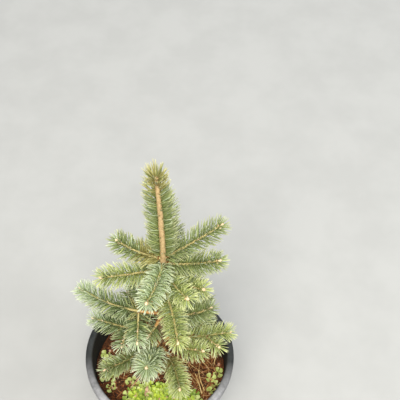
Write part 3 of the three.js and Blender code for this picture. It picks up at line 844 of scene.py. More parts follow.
print(len(LIMBS), "limbs, of which", sum(limb["bare"] is not None for limb in LIMBS), "have a bare bough")

# %% [markdown]
# ## Growing the skeleton
# The lines are grown first, before any needle, so that each needle can ask which twig it is nearest to. The
# seeded rule for side twigs has to draw the same numbers as the solids did, so the small generator that
# made them is written again. A side twig that would come too near another stem isn't grown. The leader is
# the last twig, and it is the top of the trunk itself.

# %% Growing the skeleton
TIP_REACH = 12
BOUGH_SUNK = 1
GAP = 0.3
FIRST_SEED = 101
RULE_START, RULE_STEP, RULE_START_SPREAD = 0.12, 0.3, 0.08
RULE_TURN, RULE_TURN_RANGE = 48, (0.85, 1.2)
RULE_SHARE, RULE_SHARE_LOSS = 0.55, 0.3
RULE_ROOM = 9
STATION_STEP = 5.4
BOUGH_STATIONS = 4
TRUNK_STATIONS = 4
TWIG_ROOT_RADIUS, TWIG_TIP_RADIUS, SIDE_TWIG_SHARE = 1.9, 1.3, 0.8
BOUGH_ROOT_RADIUS = 2.7
LEADER_START, LEADER_RADIUS = 482, 3.6


def seeded_random(seed):
    """The generator of the solids: numbers from 0 to 1 that are the same for the same seed."""
    state = seed
    mask = 0xFFFFFFFF
    while True:
        state = (state + 0x6D2B79F5) & mask
        t = ((state ^ (state >> 15)) * (1 | state)) & mask
        t = ((t + (((t ^ (t >> 7)) * (61 | t)) & mask)) ^ t) & mask
        yield ((t ^ (t >> 14)) & mask) / 2**32


def between(low, high, share):
    """The value at a share of the way from low to high."""
    return low + (high - low) * share


def to_pieces(place, radius):
    """A line's samples as straight pieces: starts, ends and the radius at each start."""
    return place[:-1], place[1:], radius[:-1]


def grow_twig(owner, limb, line, start, root_radius):
    """A twig from a start to the end of its line: the stretch that it covers, and its straight pieces."""
    end = line[1][-1]
    count = max(2, round((end - start) / STATION_STEP))
    place, _ = walk(line, np.linspace(start, end, count + 1))
    return dict(
        owner=owner, limb=limb, line=line, start=start, end=end, root_radius=root_radius,
        pieces=to_pieces(place, np.linspace(root_radius, TWIG_TIP_RADIUS, count + 1)),
    )


def distances(points, starts, ends):
    """Distances from each point to each straight piece, by the nearest place on the piece."""
    steps = ends - starts
    reach = np.einsum("pj,sj->ps", points, steps) - (starts * steps).sum(-1)
    share = np.clip(reach / (steps * steps).sum(-1), 0, 1)
    return np.linalg.norm(points[:, None] - starts - share[..., None] * steps, axis=-1)


boughs, twigs, side_rules = [], [], []
for index, limb in enumerate(LIMBS):
    root = trunk_point(limb["height"])
    trunk_side = float(trunk_radius(limb["height"]))
    reach = limb["reach"] - TIP_REACH
    line = bowed_line(root, limb["bearing"], limb["rise"], reach, limb["sag"], limb["sweep"])
    start = sunk = trunk_side - BOUGH_SUNK
    if limb["bare"] is not None:
        start = trunk_side + limb["bare"] + GAP
        stations, _ = walk(line, np.linspace(sunk, trunk_side + limb["bare"], BOUGH_STATIONS))
        pieces = to_pieces(stations, np.linspace(BOUGH_ROOT_RADIUS, TWIG_ROOT_RADIUS, BOUGH_STATIONS))
        boughs.append(dict(owner=limb["name"] + "_bough", line=line, start=sunk, end=start, pieces=pieces))
    twigs.append(grow_twig(limb["name"], limb, line, start, TWIG_ROOT_RADIUS))
    side_rules.append((limb, line, start, seeded_random(FIRST_SEED + index)))

trunk_steps = [
    np.linspace(low, high, TRUNK_STATIONS, endpoint=False)
    for low, high in zip(TRUNK_HEIGHTS[:-1], TRUNK_HEIGHTS[1:])
]
trunk_steps = np.concatenate([*trunk_steps, [TRUNK_TOP]])
bare_trunk = dict(owner="trunk", pieces=to_pieces(trunk_point(trunk_steps), trunk_radius(trunk_steps)))


def side_rows(limb, length, draw):
    """Where side twigs start, how far they turn from the limb, and their rise and reach."""
    rows = list(limb["forks"])
    for i in range(limb["twigs"]):
        along = RULE_START + RULE_STEP * i + RULE_START_SPREAD * next(draw)
        turn = (-1 if i % 2 else 1) * RULE_TURN * between(*RULE_TURN_RANGE, next(draw))
        rise = limb["rise"] * next(draw)
        reach = length * RULE_SHARE * (1 - RULE_SHARE_LOSS * i)
        rows.append(dict(along=along, turn=turn, rise=rise, reach=reach))
    return rows


def all_stems():
    """Starts, ends, radii, owners' names and whether each is bare wood, of every straight piece so far."""
    rows = [(stem, True) for stem in [bare_trunk, *boughs]] + [(twig, False) for twig in twigs]
    sizes = [len(stem["pieces"][0]) for stem, _ in rows]
    owners = np.repeat(np.array([stem["owner"] for stem, _ in rows], dtype=object), sizes)
    bare = np.repeat([is_bare for _, is_bare in rows], sizes)
    return (*stacked([stem["pieces"] for stem, _ in rows]), owners, bare)


for limb, line, start, draw in side_rules:
    length = line[1][-1]
    for i, row in enumerate(side_rows(limb, length - start, draw)):
        place, way = walk(line, between(start, length, row["along"]))
        bearing = math.degrees(math.atan2(way[1], way[0])) + row["turn"]
        side_line = bowed_line(place, bearing, row["rise"], row["reach"], 1)
        twig = grow_twig(f"{limb['name']}_{i}", limb, side_line, 0, TWIG_ROOT_RADIUS * SIDE_TWIG_SHARE)
        starts, ends, _, owners, _ = all_stems()
        others = owners != limb["name"]
        outer_ends = twig["pieces"][1][1:]
        if distances(outer_ends, starts[others], ends[others]).min() > RULE_ROOM:
            twigs.append(twig)

shoots = list(twigs)
leader_limb = dict(
    USUAL_SHOOT, name="leader", tint="sage", long=1.06, lean=50, tip_lean=38, curl=3, parting=0.9, crowded=4,
    tip_from=0.92, blunt=0.2, open_front=0.85,
)
leader_line = measured(trunk_point(np.linspace(LEADER_START, TRUNK_TOP, 240)))
twigs.append(grow_twig("leader", leader_limb, leader_line, 0, LEADER_RADIUS))
STEM_STARTS, STEM_ENDS, STEM_RADII, STEM_OWNERS, STEM_BARE = all_stems()
print(len(twigs), "twigs,", round(sum(twig["end"] - twig["start"] for twig in twigs)), "mm in all")

# %% [markdown]
# ## Bark
# Young spruce wood is covered with small pegs that once carried needles. They stand on two sets of spirals
# that cross, so the relief is the product of two waves that wind opposite ways round the stem. The old foot
# of the trunk has lost them and is flaky instead. Real relief was chosen over a bump map because the
# outline shows it.

# %% Bark surface
TRUNK_PEGS = dict(turns=(5, 8), step=3.1)
BOUGH_LOOK = dict(sides=14, step=0.8, past_end=0.6, inset=0.15, swell=0.9, fade=2.5, peg=0.4, peg_step=2.8)
TWIG_LOOK = dict(sides=10, step=0.9, past_end=0, inset=0.2, swell=0.5, fade=2.2, peg=0.34, peg_step=2.6)
TWIG_TURNS = (3, 5)
UPRIGHT = 0.9
ROOT_LOBES, LOBE_DEPTH, LOBE_FADE = 5, 0.22, 7
YOUNG_FROM, AGEING = 470, 220
FLAKE_COLUMNS, FLAKE_HEIGHT, FLAKE_DEPTH = 9, 4.5, 0.75
TRUNK_INSET, TRUNK_PEG, OLD_PEG_LOSS = 0.15, 0.42, 0.7
WHORLS, KNOT_HALF, KNOT_DEPTH = (248, 329, 469), 5.0, 0.5


def across_line(way):
    """The two directions square to a line: sideways, and up, or to the front on an upright stem."""
    upright = np.abs(way[..., 2:]) > UPRIGHT
    reference = np.where(upright, [0.0, -1.0, 0.0], UP)
    sideways = unit(np.cross(reference, way))
    return sideways, np.cross(way, sideways)


def spin(first, second, angle):
    """Directions round a stem: the first times the angle's cosine, plus the second times its sine."""
    return np.cos(angle)[..., None] * first + np.sin(angle)[..., None] * second


def round_stem(line, distance, angle):
    """Places on a line, its directions there, and directions away from it at angles from its upper side."""
    place, way = walk(line, distance)
    sideways, upper = across_line(way)
    return place, way, spin(upper, sideways, angle)


def pegs(distance, angle, turns, step):
    """Pegs from 0 to 1 where two sets of spiral ridges cross."""
    first = np.cos(turns[0] * angle + 2 * math.pi * distance / step)
    second = np.cos(turns[1] * angle - 2 * math.pi * distance / step)
    return np.clip(0.5 + 0.5 * first, 0, 1) * np.clip(0.5 + 0.5 * second, 0, 1)


def stem_tube(line, start, end, sides, step, surface):
    """A closed tube round a stretch of line. The surface gives its radius from a distance and an angle."""
    distance = np.linspace(start, end, max(3, round((end - start) / step)))[:, None]
    angle = angles_round(sides)[None, :]
    place, way = walk(line, distance[:, 0])
    sideways, upper = across_line(way)
    out = spin(upper[:, None], -sideways[:, None], angle)
    return closed_sheet(place[:, None] + surface(distance, angle)[..., None] * out)


def trunk_surface(distance, angle):
    """The trunk's radius: a taper and root lobes, flakes low down, pegs higher up, a knot at each whorl."""
    height = TRUNK_FOOT + distance
    lobes = 1 + LOBE_DEPTH * np.cos(ROOT_LOBES * angle + 0.7) * np.exp(-(height - TRUNK_FOOT) / LOBE_FADE)
    age = np.clip((YOUNG_FROM - height) / AGEING, 0, 1)
    column = angle / (2 * math.pi) * FLAKE_COLUMNS
    flakes = lumps(column, height / FLAKE_HEIGHT, 1, 31, FLAKE_COLUMNS) - 0.5
    knots = sum(np.exp(-((height - whorl) / KNOT_HALF) ** 2) for whorl in WHORLS)
    young_relief = TRUNK_PEG * pegs(distance, angle, **TRUNK_PEGS) * (1 - OLD_PEG_LOSS * age)
    relief = FLAKE_DEPTH * flakes * age + young_relief
    return trunk_radius(height) * lobes - TRUNK_INSET + relief + KNOT_DEPTH * knots


def branch_tube(branch, root_radius, tip_radius, sides, step, past_end, inset, swell, fade, peg, peg_step):
    """A bough's or twig's bark: an even taper, a swelling at the root that fades, and pegs."""
    start, end = branch["start"], branch["end"]

    def surface(distance, angle):
        """The radius on the drawing, less an inset that the pegs fill again."""
        taper = between(root_radius, tip_radius, (distance - start) / (end - start))
        swelling = swell * np.exp(-(distance - start) / fade)
        return taper - inset + swelling + peg * pegs(distance, angle, TWIG_TURNS, peg_step)

    return stem_tube(branch["line"], start, end + past_end, sides, step, surface)


trunk_line = measured(trunk_point(np.linspace(TRUNK_FOOT, TRUNK_TOP, 1200)))
trunk_tube = stem_tube(trunk_line, 0, trunk_line[1][-1], 30, 1.1, trunk_surface)
bough_tubes = [branch_tube(bough, BOUGH_ROOT_RADIUS, TWIG_ROOT_RADIUS, **BOUGH_LOOK) for bough in boughs]
twig_tubes = [branch_tube(twig, twig["root_radius"], TWIG_TIP_RADIUS, **TWIG_LOOK) for twig in shoots]
print("trunk has", len(trunk_tube[0]), "points")

# %% [markdown]
# ## Bark colours
# The leader's bark is tan and the old foot of the trunk is grey brown, so one material blends the two by
# height. The boughs are more orange and the twigs yellower, each with tones of its own.

# %% Bark colours
BARK_TONES = {
    "trunk_bark": ((214, 184, 134), (192, 158, 112), (132, 100, 70), (94, 70, 52), 0.24, 0.48),
    "bough_bark": ((204, 164, 98), (168, 124, 68), (186, 138, 80), (148, 102, 56), 0.25, 0.42),
    "twig_bark": ((208, 194, 134), (184, 166, 106), (188, 172, 112), (158, 142, 86), 0.25, 0.42),
}
BARK_SMOOTH = 60


def bark(name):
    """Bark that goes from two old tones to two young ones between two heights in metres, with fine grain."""
    young, young_dark, old, old_dark, low, high = BARK_TONES[name]
    material, tree, shader = new_material(name, 0.72, 0.35)
    share = stretch(tree, axis_value(tree, object_place(tree), "Z"), low, high)
    aged, fresh = clouds(tree, old, old_dark, 240.0), clouds(tree, young, young_dark, 330.0)
    tree.links.new(shader.inputs["Base Color"], blend_colours(tree, share, aged, fresh))
    add_grain(tree, shader, 700.0, 2000.0, 0.6, 0.0005)
    return material


dress("trunk_bark", trunk_tube, bark("trunk_bark"), ["trunk"], BARK_SMOOTH)
bough_nodes = [bough["owner"] for bough in boughs]
dress("bough_bark", join(bough_tubes), bark("bough_bark"), bough_nodes, BARK_SMOOTH)
dress("twig_stems", join(twig_tubes), bark("twig_bark"), (), BARK_SMOOTH)

# %% [markdown]
# ## One needle
# A blue spruce needle is stiff, a little curved, square in section and sharp. It is a thin spindle: four
# corners on each of a few rings, a pole at the foot, which is hidden in the bark, and a pole at the tip.
# Flat cards would need fewer faces, but they vanish when seen edge on, and the square section catches light
# on one side as the real needle does.

# %% One needle
NEEDLE_RINGS = np.array([0.03, 0.2, 0.5, 0.78, 0.92])
NEEDLE_OUTLINE = np.array([0.5, 0.9, 1.0, 0.86, 0.5])
NEEDLE_SIDES = 4


def needles(root, way, bend, length, width, twist):
    """Many needles at once, with each point's share of its needle's length.

    The middle line goes from the root along the way, and bends as the square of the share. Corners stand
    round it at half the width times the outline.
    """
    rings = len(NEEDLE_RINGS)
    share = np.concatenate([NEEDLE_RINGS, [0, 1]])[None, :, None]
    middle = root[:, None] + length[:, None, None] * (way[:, None] * share + bend[:, None] * share**2)
    sideways = unit(np.cross(way, way[:, [1, 2, 0]] + 0.31))
    upper = np.cross(way, sideways)
    around = spin(sideways[:, None], upper[:, None], twist[:, None] + angles_round(NEEDLE_SIDES))
    half = 0.5 * width[:, None] * NEEDLE_OUTLINE
    corners = middle[:, :rings, None] + half[:, :, None, None] * around[:, None]
    points = np.concatenate([corners.reshape(len(root), -1, 3), middle[:, rings:]], 1)
    shares = np.concatenate([np.repeat(NEEDLE_RINGS, NEEDLE_SIDES), [0, 1]])
    faces = repeated(closed_sheet(np.zeros((rings, NEEDLE_SIDES, 3)))[1], len(root), len(shares))
    return points.reshape(-1, 3), faces, np.tile(shares, len(root))


print("a needle has", 2 * NEEDLE_SIDES * len(NEEDLE_RINGS), "triangles")

# %% [markdown]
# ## Needles on a twig
# Needles leave the bark one by one on a spiral, each turned by the golden angle from the one before. They
# lean forwards, more so towards the tip, and are lifted towards the light. Seen from above, a shoot shows
# its stem between two combs, because few needles stand on the stem's top and most are at its sides. Every
# needle stays in the space that is nearer to its own twig than to any other, as in the solids, and is
# shortened until it does. A few sparse needles are left on the trunk between the whorls.

# %% Needles on a twig
NEEDLE_SEED = 500
NEEDLES_PER_MM = 3.1
NEEDLE_LENGTH, LENGTH_SPREAD = 22.5, (0.84, 1.0)
NEEDLE_WIDTH, WIDTH_SPREAD = 1.2, (0.85, 1.12)
NEEDLE_LIFT = 0.2
CURL_SPREAD, RISING_SPREAD = (0.02, 0.14), (0.0, 0.08)
LEAN_SCATTER, TIP_SCATTER = 5.5, (-32, 18)
SPIRAL_SCATTER, WAY_SCATTER = 0.15, 0.04
PARTING_FADE = 0.12
TOP_SHORTER = 0.16
ROOT_SUNK = 0.5
ROOT_FREE, ENDS_FREE = 1.0, 0.8
TIP_NEEDLES = 12
THINNED = 0.75
FRONT_COSINE = 0.84
MOST_TWIST = 0.6
NEEDLE_TRIES = (1, 0.85, 0.7, 0.55, 0.42)
NEEDLE_TESTS = np.array([0.35, 0.55, 0.78, 1.0])[:, None]
NEEDLE_MINGLE = 2.5
WOOD_CLEAR = 1.0
GOLDEN_ANGLE = math.pi * (3 - math.sqrt(5))
TRUNK_NEEDLES = [(338, 463, 0.45, "sage"), (264, 330, 0.7, "blue")]


def has_room(owner, points):
    """For each point, whether its own twig is the nearest, or nearly so, and bare wood keeps clear of it."""
    gaps = distances(points, STEM_STARTS, STEM_ENDS)
    own = gaps[:, STEM_OWNERS == owner].min(1)
    other = gaps[:, (STEM_OWNERS != owner) & ~STEM_BARE].min(1)
    wood = (gaps - STEM_RADII)[:, STEM_BARE].min(1)
    return (own < other + NEEDLE_MINGLE) & (wood > WOOD_CLEAR)


def needle_places(twig, random):
    """Each needle's share of the twig, its distance and its angle, and whether it is one of the tip's own.

    Needles stand evenly along the twig with some more at its tip. The parting turns them off the stem's top.
    """
    limb = twig["limb"]
    span = twig["end"] - twig["start"]
    count = int(span * NEEDLES_PER_MM * limb["dense"])
    share = (np.arange(count) + random.random(count)) / count
    share = np.concatenate([share, random.uniform(limb["tip_from"], 1, TIP_NEEDLES * limb["crowded"])])
    distance = twig["start"] + ROOT_FREE + (span - ENDS_FREE) * share
    angle = np.arange(len(share)) * GOLDEN_ANGLE + random.normal(0, SPIRAL_SCATTER, len(share))
    parting = limb["parting"] * np.clip((limb["tip_from"] - share) / PARTING_FADE, 0, 1)
    return share, distance, angle + parting * np.sin(2 * angle) / 2, np.arange(len(share)) >= count


def needle_ways(limb, share, forward, out, at_tip, random):
    """Each needle's way, forwards and outwards by its lean, and its bend, forwards and a little up."""
    count = len(share)
    even, unruly = random.normal(0, LEAN_SCATTER, count), random.uniform(*TIP_SCATTER, count)
    lean = between(limb["lean"], limb["tip_lean"], share**6) + np.where(at_tip, unruly, even)
    lean = np.radians(lean)[:, None]
    lift = NEEDLE_LIFT * (1 - np.abs(forward[:, 2:]))
    scatter = random.normal(0, WAY_SCATTER, (count, 3))
    way = unit(out * np.sin(lean) + forward * np.cos(lean) + UP * lift + scatter)
    bend = forward * random.uniform(*CURL_SPREAD, (count, 1)) * limb["curl"]
    return way, bend + UP * random.uniform(*RISING_SPREAD, (count, 1)) * (lift > 0.05)


def fitted(owner, root, way, bend, length):
    """The first of a few shares of its length at which each needle has room, or 0 where it has none."""
    size = np.zeros(len(root))
    tests = way[:, None] * NEEDLE_TESTS + bend[:, None] * NEEDLE_TESTS**2
    for tried in NEEDLE_TRIES:
        waiting = np.flatnonzero(size == 0)
        if len(waiting) == 0:
            break
        probes = root[waiting, None] + tests[waiting] * (length[waiting] * tried)[:, None, None]
        fits = has_room(owner, probes.reshape(-1, 3)).reshape(len(waiting), -1).all(1)
        size[waiting[fits]] = tried
    return size


def needles_of(twig, seed):
    """Roots, ways, bends, lengths, widths, twists, shades and shares of the needles that a twig keeps."""
    random = np.random.default_rng(seed)
    limb = twig["limb"]
    share, distance, angle, at_tip = needle_places(twig, random)
    count = len(share)
    place, forward, out = round_stem(twig["line"], distance, angle)
    root = place + out * (between(twig["root_radius"], TWIG_TIP_RADIUS, share)[:, None] - ROOT_SUNK)
    way, bend = needle_ways(limb, share, forward, out, at_tip, random)
    length = NEEDLE_LENGTH * limb["long"] * random.uniform(*LENGTH_SPREAD, count)
    length = length * (1 - TOP_SHORTER * np.clip(np.cos(angle), 0, 1)) * (1 - limb["blunt"] * share**8)
    length = length * fitted(twig["owner"], root, way, bend, length)
    width = NEEDLE_WIDTH * random.uniform(*WIDTH_SPREAD, count)
    thin = (distance < twig["start"] + limb["thin"]) & (random.random(count) < THINNED)
    in_front = (np.cos(angle) > FRONT_COSINE) & (share < limb["tip_from"])
    opened = in_front & (random.random(count) < limb["open_front"])
    keep = (length > 0) & ~thin & ~opened
    twist, shade = random.random(count) * MOST_TWIST, random.random(count)
    return [part[keep] for part in (root, way, bend, length, width, twist, shade, share)]


needled = list(twigs)
for low, high, dense, tint in TRUNK_NEEDLES:
    sparse = dict(USUAL_SHOOT, tint=tint, dense=dense, long=0.84, lean=66, tip_lean=60, parting=0, crowded=0)
    span = dict(start=low - TRUNK_FOOT, end=high - TRUNK_FOOT)
    needled.append(dict(owner="trunk", limb=sparse, line=trunk_line, root_radius=4.4, **span))
grown = [(twig, needles_of(twig, NEEDLE_SEED + index)) for index, twig in enumerate(needled)]
print("needles:", sum(len(parts[0]) for _, parts in grown))

# %% [markdown]
# ## Needle colours
# Blue spruce gets its colour from a wax on the needle, thicker on one shoot than on the next. Four tints
# are dealt out by shoot, with some needles of the other tints mixed in, and a blue shoot ends in pale
# silver. The tints paint light and shade as well: the darker blue and sage are painted shade on shoots that
# lie in shade, and the paler straw and silver are painted light on brighter ones. A fifth tint, tawny, is for
# the dry needles at some roots and for the top of the leader. Each tint is one piece with its own plain
# colours. Along a needle the foot is greener and the point is pale, which a value stored with the mesh
# drives.

# %% Needle colours
# Beside the wax's hue, the tints' lightness paints shade in blue and sage and light in straw and silver.
TINTS = {
    "silver": ((138, 156, 98), (184, 198, 154), (230, 236, 204)),
    "blue": ((92, 110, 50), (118, 134, 84), (188, 192, 146)),
    "sage": ((108, 122, 56), (144, 156, 98), (196, 198, 150)),
    "straw": ((146, 156, 76), (180, 190, 116), (228, 228, 172)),
    "tawny": ((134, 124, 60), (168, 162, 98), (214, 210, 152)),
}
SILVER, TAWNY = 0, 4
MIXED_TINTS = 4
TINT_MIX = 0.22
PALE_END, PALE_SCATTER = 0.7, 0.1
TAWNY_ABOVE, TAWNY_SCATTER = 610, 12
DRY_SCATTER = 0.07
MIDDLE_FULL, POINT_FROM = 0.4, 0.62
SHADES = (0.78, 1.16)
WAX_PATCHES, WAX_ROUGHNESS = (0.35, 0.65), (0.38, 0.6)
TINT_SEED = 900

needle_tone, tone_in, tone_out = new_group(
    "needle_tone",
    [("Foot", COLOUR, GREY), ("Middle", COLOUR, GREY), ("Point", COLOUR, GREY)],
    [("Colour", COLOUR), ("Roughness", NUMBER)],
)
tone_share = add_node(needle_tone, "ShaderNodeAttribute", attribute_name="share").outputs["Fac"]
tone_shade = add_node(needle_tone, "ShaderNodeAttribute", attribute_name="shade").outputs["Fac"]
to_middle = stretch(needle_tone, tone_share, 0.0, MIDDLE_FULL)
to_point = stretch(needle_tone, tone_share, POINT_FROM, 1.0)
tone_lower = blend_colours(needle_tone, to_middle, tone_in["Foot"], tone_in["Middle"])
tone_whole = blend_colours(needle_tone, to_point, tone_lower, tone_in["Point"])
tone_links = [("Value", stretch(needle_tone, tone_shade, 0.0, 1.0, *SHADES)), ("Color", tone_whole)]
tone_final = add_node(needle_tone, "ShaderNodeHueSaturation", tone_links)
needle_tone.links.new(tone_out["Colour"], tone_final.outputs[0])
tone_rough = stretch(needle_tone, noise(needle_tone, 900.0), *WAX_PATCHES, *WAX_ROUGHNESS)
needle_tone.links.new(tone_out["Roughness"], tone_rough)


def needle_skin(name, foot, middle, point):
    """The waxy skin of a needle in one tint."""
    material, tree, shader = new_material(name, 0.5, 0.45)
    skin = place_group(tree, needle_tone, Foot=paint(*foot), Middle=paint(*middle), Point=paint(*point))
    tree.links.new(shader.inputs["Base Color"], skin.outputs["Colour"])
    tree.links.new(shader.inputs["Roughness"], skin.outputs["Roughness"])
    return material


def deal_tints(twig, height, share, random):
    """The number of each needle's tint, from its height and its share of the twig."""
    count = len(share)
    main = list(TINTS).index(twig["limb"]["tint"])
    others = (main + random.integers(1, MIXED_TINTS, count)) % MIXED_TINTS
    choice = np.where(random.random(count) < TINT_MIX, others, main)
    if twig["limb"]["tint"] == "blue" and twig["owner"] != "trunk":
        choice = np.where(share + random.normal(0, PALE_SCATTER, count) > PALE_END, SILVER, choice)
    tawny = height + random.normal(0, TAWNY_SCATTER, count) > TAWNY_ABOVE
    tawny |= share + random.normal(0, DRY_SCATTER, count) < twig["limb"]["dry"]
    return np.where(tawny, TAWNY, choice)


choices = [
    deal_tints(twig, parts[0][:, 2], parts[-1], np.random.default_rng(TINT_SEED + index))
    for index, (twig, parts) in enumerate(grown)
]
for number, (tint, tones) in enumerate(TINTS.items()):
    dealt = [[part[choice == number] for part in parts] for (_, parts), choice in zip(grown, choices)]
    *shape, shade, _ = stacked(dealt)
    points, faces, shares = needles(*shape)
    marks = dict(share=shares, shade=np.repeat(shade, len(points) // len(shade)))
    nodes = [limb["name"] + "_foliage" for limb in [*LIMBS, leader_limb] if limb["tint"] == tint]
    skin = needle_skin(tint + "_needle", *tones)
    dress(tint + "_needles", (points, faces, marks), skin, nodes, 0)

# %% [markdown]
# ## Buds and bud scales
# Each shoot ends in a resting bud, pale and pinkish, with three smaller ones beside it, and two sit along
# the shoot. A bud is a row of rings whose radius swells and closes, with a wave round each for the edges of
# the scales. Where a shoot leaves its parent, the dry scales of last year's bud still stand in a brown
# collar.

# %% Buds
BUD_RINGS, BUD_SIDES = 8, 10
END_BUD, LEADER_BUD = 6.2, 3.4
END_BUD_SIZES = np.array([1, 0.62, 0.58, 0.5])
SIDE_BUDS, SIDE_BUD = 2, (2.2, 3.4)
BUD_SLIM = np.array([1, 0.72, 0.72])


def bud_shape():
    """A bud of length one along the first axis. Its radius swells and closes, notched by its scales."""
    t = np.linspace(0.04, 0.97, BUD_RINGS)[:, None]
    angle = angles_round(BUD_SIDES)[None, :]
    radius = 0.5 * np.sin(math.pi * t**0.8) ** 0.7 * (1 + 0.13 * np.cos(5 * angle + 9 * t))
    rings = np.stack([np.broadcast_to(t, radius.shape), radius * np.cos(angle), radius * np.sin(angle)], -1)
    points, faces = closed_sheet(rings)
    points[-2:] = [[0, 0, 0], [1.04, 0, 0]]
    return points, faces


def end_buds(twig, random):
    """One large bud on the twig's tip and three small ones round it, as places, directions and sizes."""
    place, way, out = round_stem(twig["line"], twig["end"], random.random() * 6 + np.arange(3) * 2.1)
    places = np.concatenate([[place - way * 0.6], place - way * 2.0 + out])
    ways = np.concatenate([[way], unit(way * 1.1 + out)])
    return places, ways, (LEADER_BUD if twig["owner"] == "leader" else END_BUD) * END_BUD_SIZES


def side_buds(twig, random):
    """Two small buds on the upper side of a twig's outer half."""
    distance = between(twig["start"], twig["end"], random.uniform(0.5, 0.92, SIDE_BUDS))
    place, way, out = round_stem(twig["line"], distance, random.uniform(-0.9, 0.9, SIDE_BUDS))
    return place + out, unit(way + out * 0.9), random.uniform(*SIDE_BUD, SIDE_BUDS)


bud_random = np.random.default_rng(77)
bud_rows = [end_buds(twig, bud_random) for twig in twigs]
bud_rows += [side_buds(twig, bud_random) for twig in shoots]
bud_places, bud_ways, bud_lengths = stacked(bud_rows)
bud_axes = axes_from(bud_ways, bud_ways[:, [2, 0, 1]] + 0.2)
bud_mesh = strew(bud_shape(), bud_places, bud_axes, bud_lengths[:, None] * BUD_SLIM)
bud_relief = (900.0, 2400.0, 0.5, 0.0004)
bud_skin = two_tone("bud_skin", (246, 226, 190), (226, 184, 142), 420.0, 0.55, 0.4, bud_relief)
dress("buds", bud_mesh, bud_skin, (), 50)

# %% [markdown]
# The collar of dry scales is one small shape, strewn in a ring round each shoot's root: eight points round
# an edge and one in the middle of each side. The flakes further down are the same shape in a larger size,
# and the leaves of the green mat have other proportions.

# %% Bud scales
SCALES_ROUND = 9
SCALE_LENGTH = (2.2, 3.4)
BLADE_SMOOTH = 70


def blade_shape(lengths, widths, cup, lift, middle, top, bottom):
    """A small leaf or scale from half its edge. The cup raises its sides, and the lift raises its tip."""
    length = np.concatenate([lengths, lengths[3:0:-1]])
    across = np.concatenate([widths, np.negative(widths[3:0:-1])])
    rim = np.stack([length, across, cup * across**2 + lift * length**2], -1)
    here = np.arange(8)
    after = (here + 1) % 8
    upper, lower = np.stack([here, after, 0 * here + 8], -1), np.stack([after, here, 0 * here + 9], -1)
    return np.concatenate([rim, [[middle, 0, top], [middle, 0, bottom]]]), [upper, lower]


def collar(line, distance, radius, random):
    """Places, forward ways and outward ways of scales that stand in a ring round a stem."""
    angle = angles_round(SCALES_ROUND) + random.random(SCALES_ROUND) * 0.5
    place, way, out = round_stem(line, distance, angle)
    return place + out * radius, unit(way + out * random.uniform(0.2, 0.7, (SCALES_ROUND, 1))), out


scale_shape = blade_shape([0, 0.25, 0.6, 0.85, 1.1], [0, 0.3, 0.42, 0.3, 0], 0, 0.25, 0.5, 0.16, -0.05)
collars = [collar(bough["line"], bough["start"] + 2.0, 2.9, bud_random) for bough in boughs]
for twig in shoots:
    past_parent = 2.0 if twig["start"] < 12 else 0.8
    collars.append(collar(twig["line"], twig["start"] + past_parent, twig["root_radius"] + 0.1, bud_random))
scale_places, scale_ways, scale_outs = stacked(collars)
scale_sizes = bud_random.uniform(*SCALE_LENGTH, (len(scale_places), 1)) * np.array([1, 1.1, 1])
scale_mesh = strew(scale_shape, scale_places, axes_from(scale_ways, scale_outs), scale_sizes)
dry_scales = two_tone("dry_scales", (142, 92, 52), (104, 66, 40), 380.0, 0.8, 0.3)
dress("bud_scales", scale_mesh, dry_scales, (), BLADE_SMOOTH)

# %% [markdown]
# ## Green mat
# Small bright plants cover the compost in front of the trunk. Each is a rosette of round, cupped leaves.
# They stand on a low cushion that has the solid's shape, so that no compost shows through, and their places
# follow a sunflower's spiral, which spreads points evenly without any two meeting.

# %% Green mat cushion
MAT_CENTRE = np.array([4.0, -60.0])
MAT_HALF_WIDTH, MAT_HALF_DEPTH, MAT_THICKNESS = 66, 34, 7
MAT_AROUND, MAT_RINGS = 110, 34
MAT_SUNK, MAT_HILL, MAT_RELIEF = 3.0, 3.2, 1.6


def mat_height(x, y):
    """The cushion's top: half a flattened ball on the compost's level."""
    far = ((x - MAT_CENTRE[0]) / MAT_HALF_WIDTH) ** 2 + ((y - MAT_CENTRE[1]) / MAT_HALF_DEPTH) ** 2
    return COMPOST_TOP + MAT_THICKNESS * np.sqrt(np.clip(1 - far, 0, 1))


def mat_cushion():
    """Rings on an ellipse, sunk under the compost at the edge, with small hills on top."""
    share = np.concatenate([[0.97, 0.99], np.linspace(1, 0.02, MAT_RINGS)])[:, None]
    angle = angles_round(MAT_AROUND)[None, :]
    x = MAT_CENTRE[0] + MAT_HALF_WIDTH * share * np.cos(angle)
    y = MAT_CENTRE[1] + MAT_HALF_DEPTH * share * np.sin(angle)
    z = mat_height(x, y) - MAT_SUNK + MAT_RELIEF * lumps(x, y, MAT_HILL, 51)
    z[:2] = [[COMPOST_TOP - MAT_SUNK - 1], [COMPOST_TOP - MAT_SUNK]]
    return closed_sheet(np.stack([x, y, z], -1))


mat_shade = two_tone("mat_shade", (64, 70, 24), (44, 38, 20), 200.0, 0.85, 0.25, (500.0, 1500.0, 0.7, 0.001))
dress("mat_cushion", mat_cushion(), mat_shade, ["green_mat"], 0)

# %% [markdown]
# The leaf is a round cupped shape of sixteen triangles. A rosette has four broad leaves that spread and
# three small ones in its heart. Each plant stands at a height of its own, so that dark gaps stay between
# them. Three greens are dealt out by plant, and the single plants and tufts round the mat have the palest.

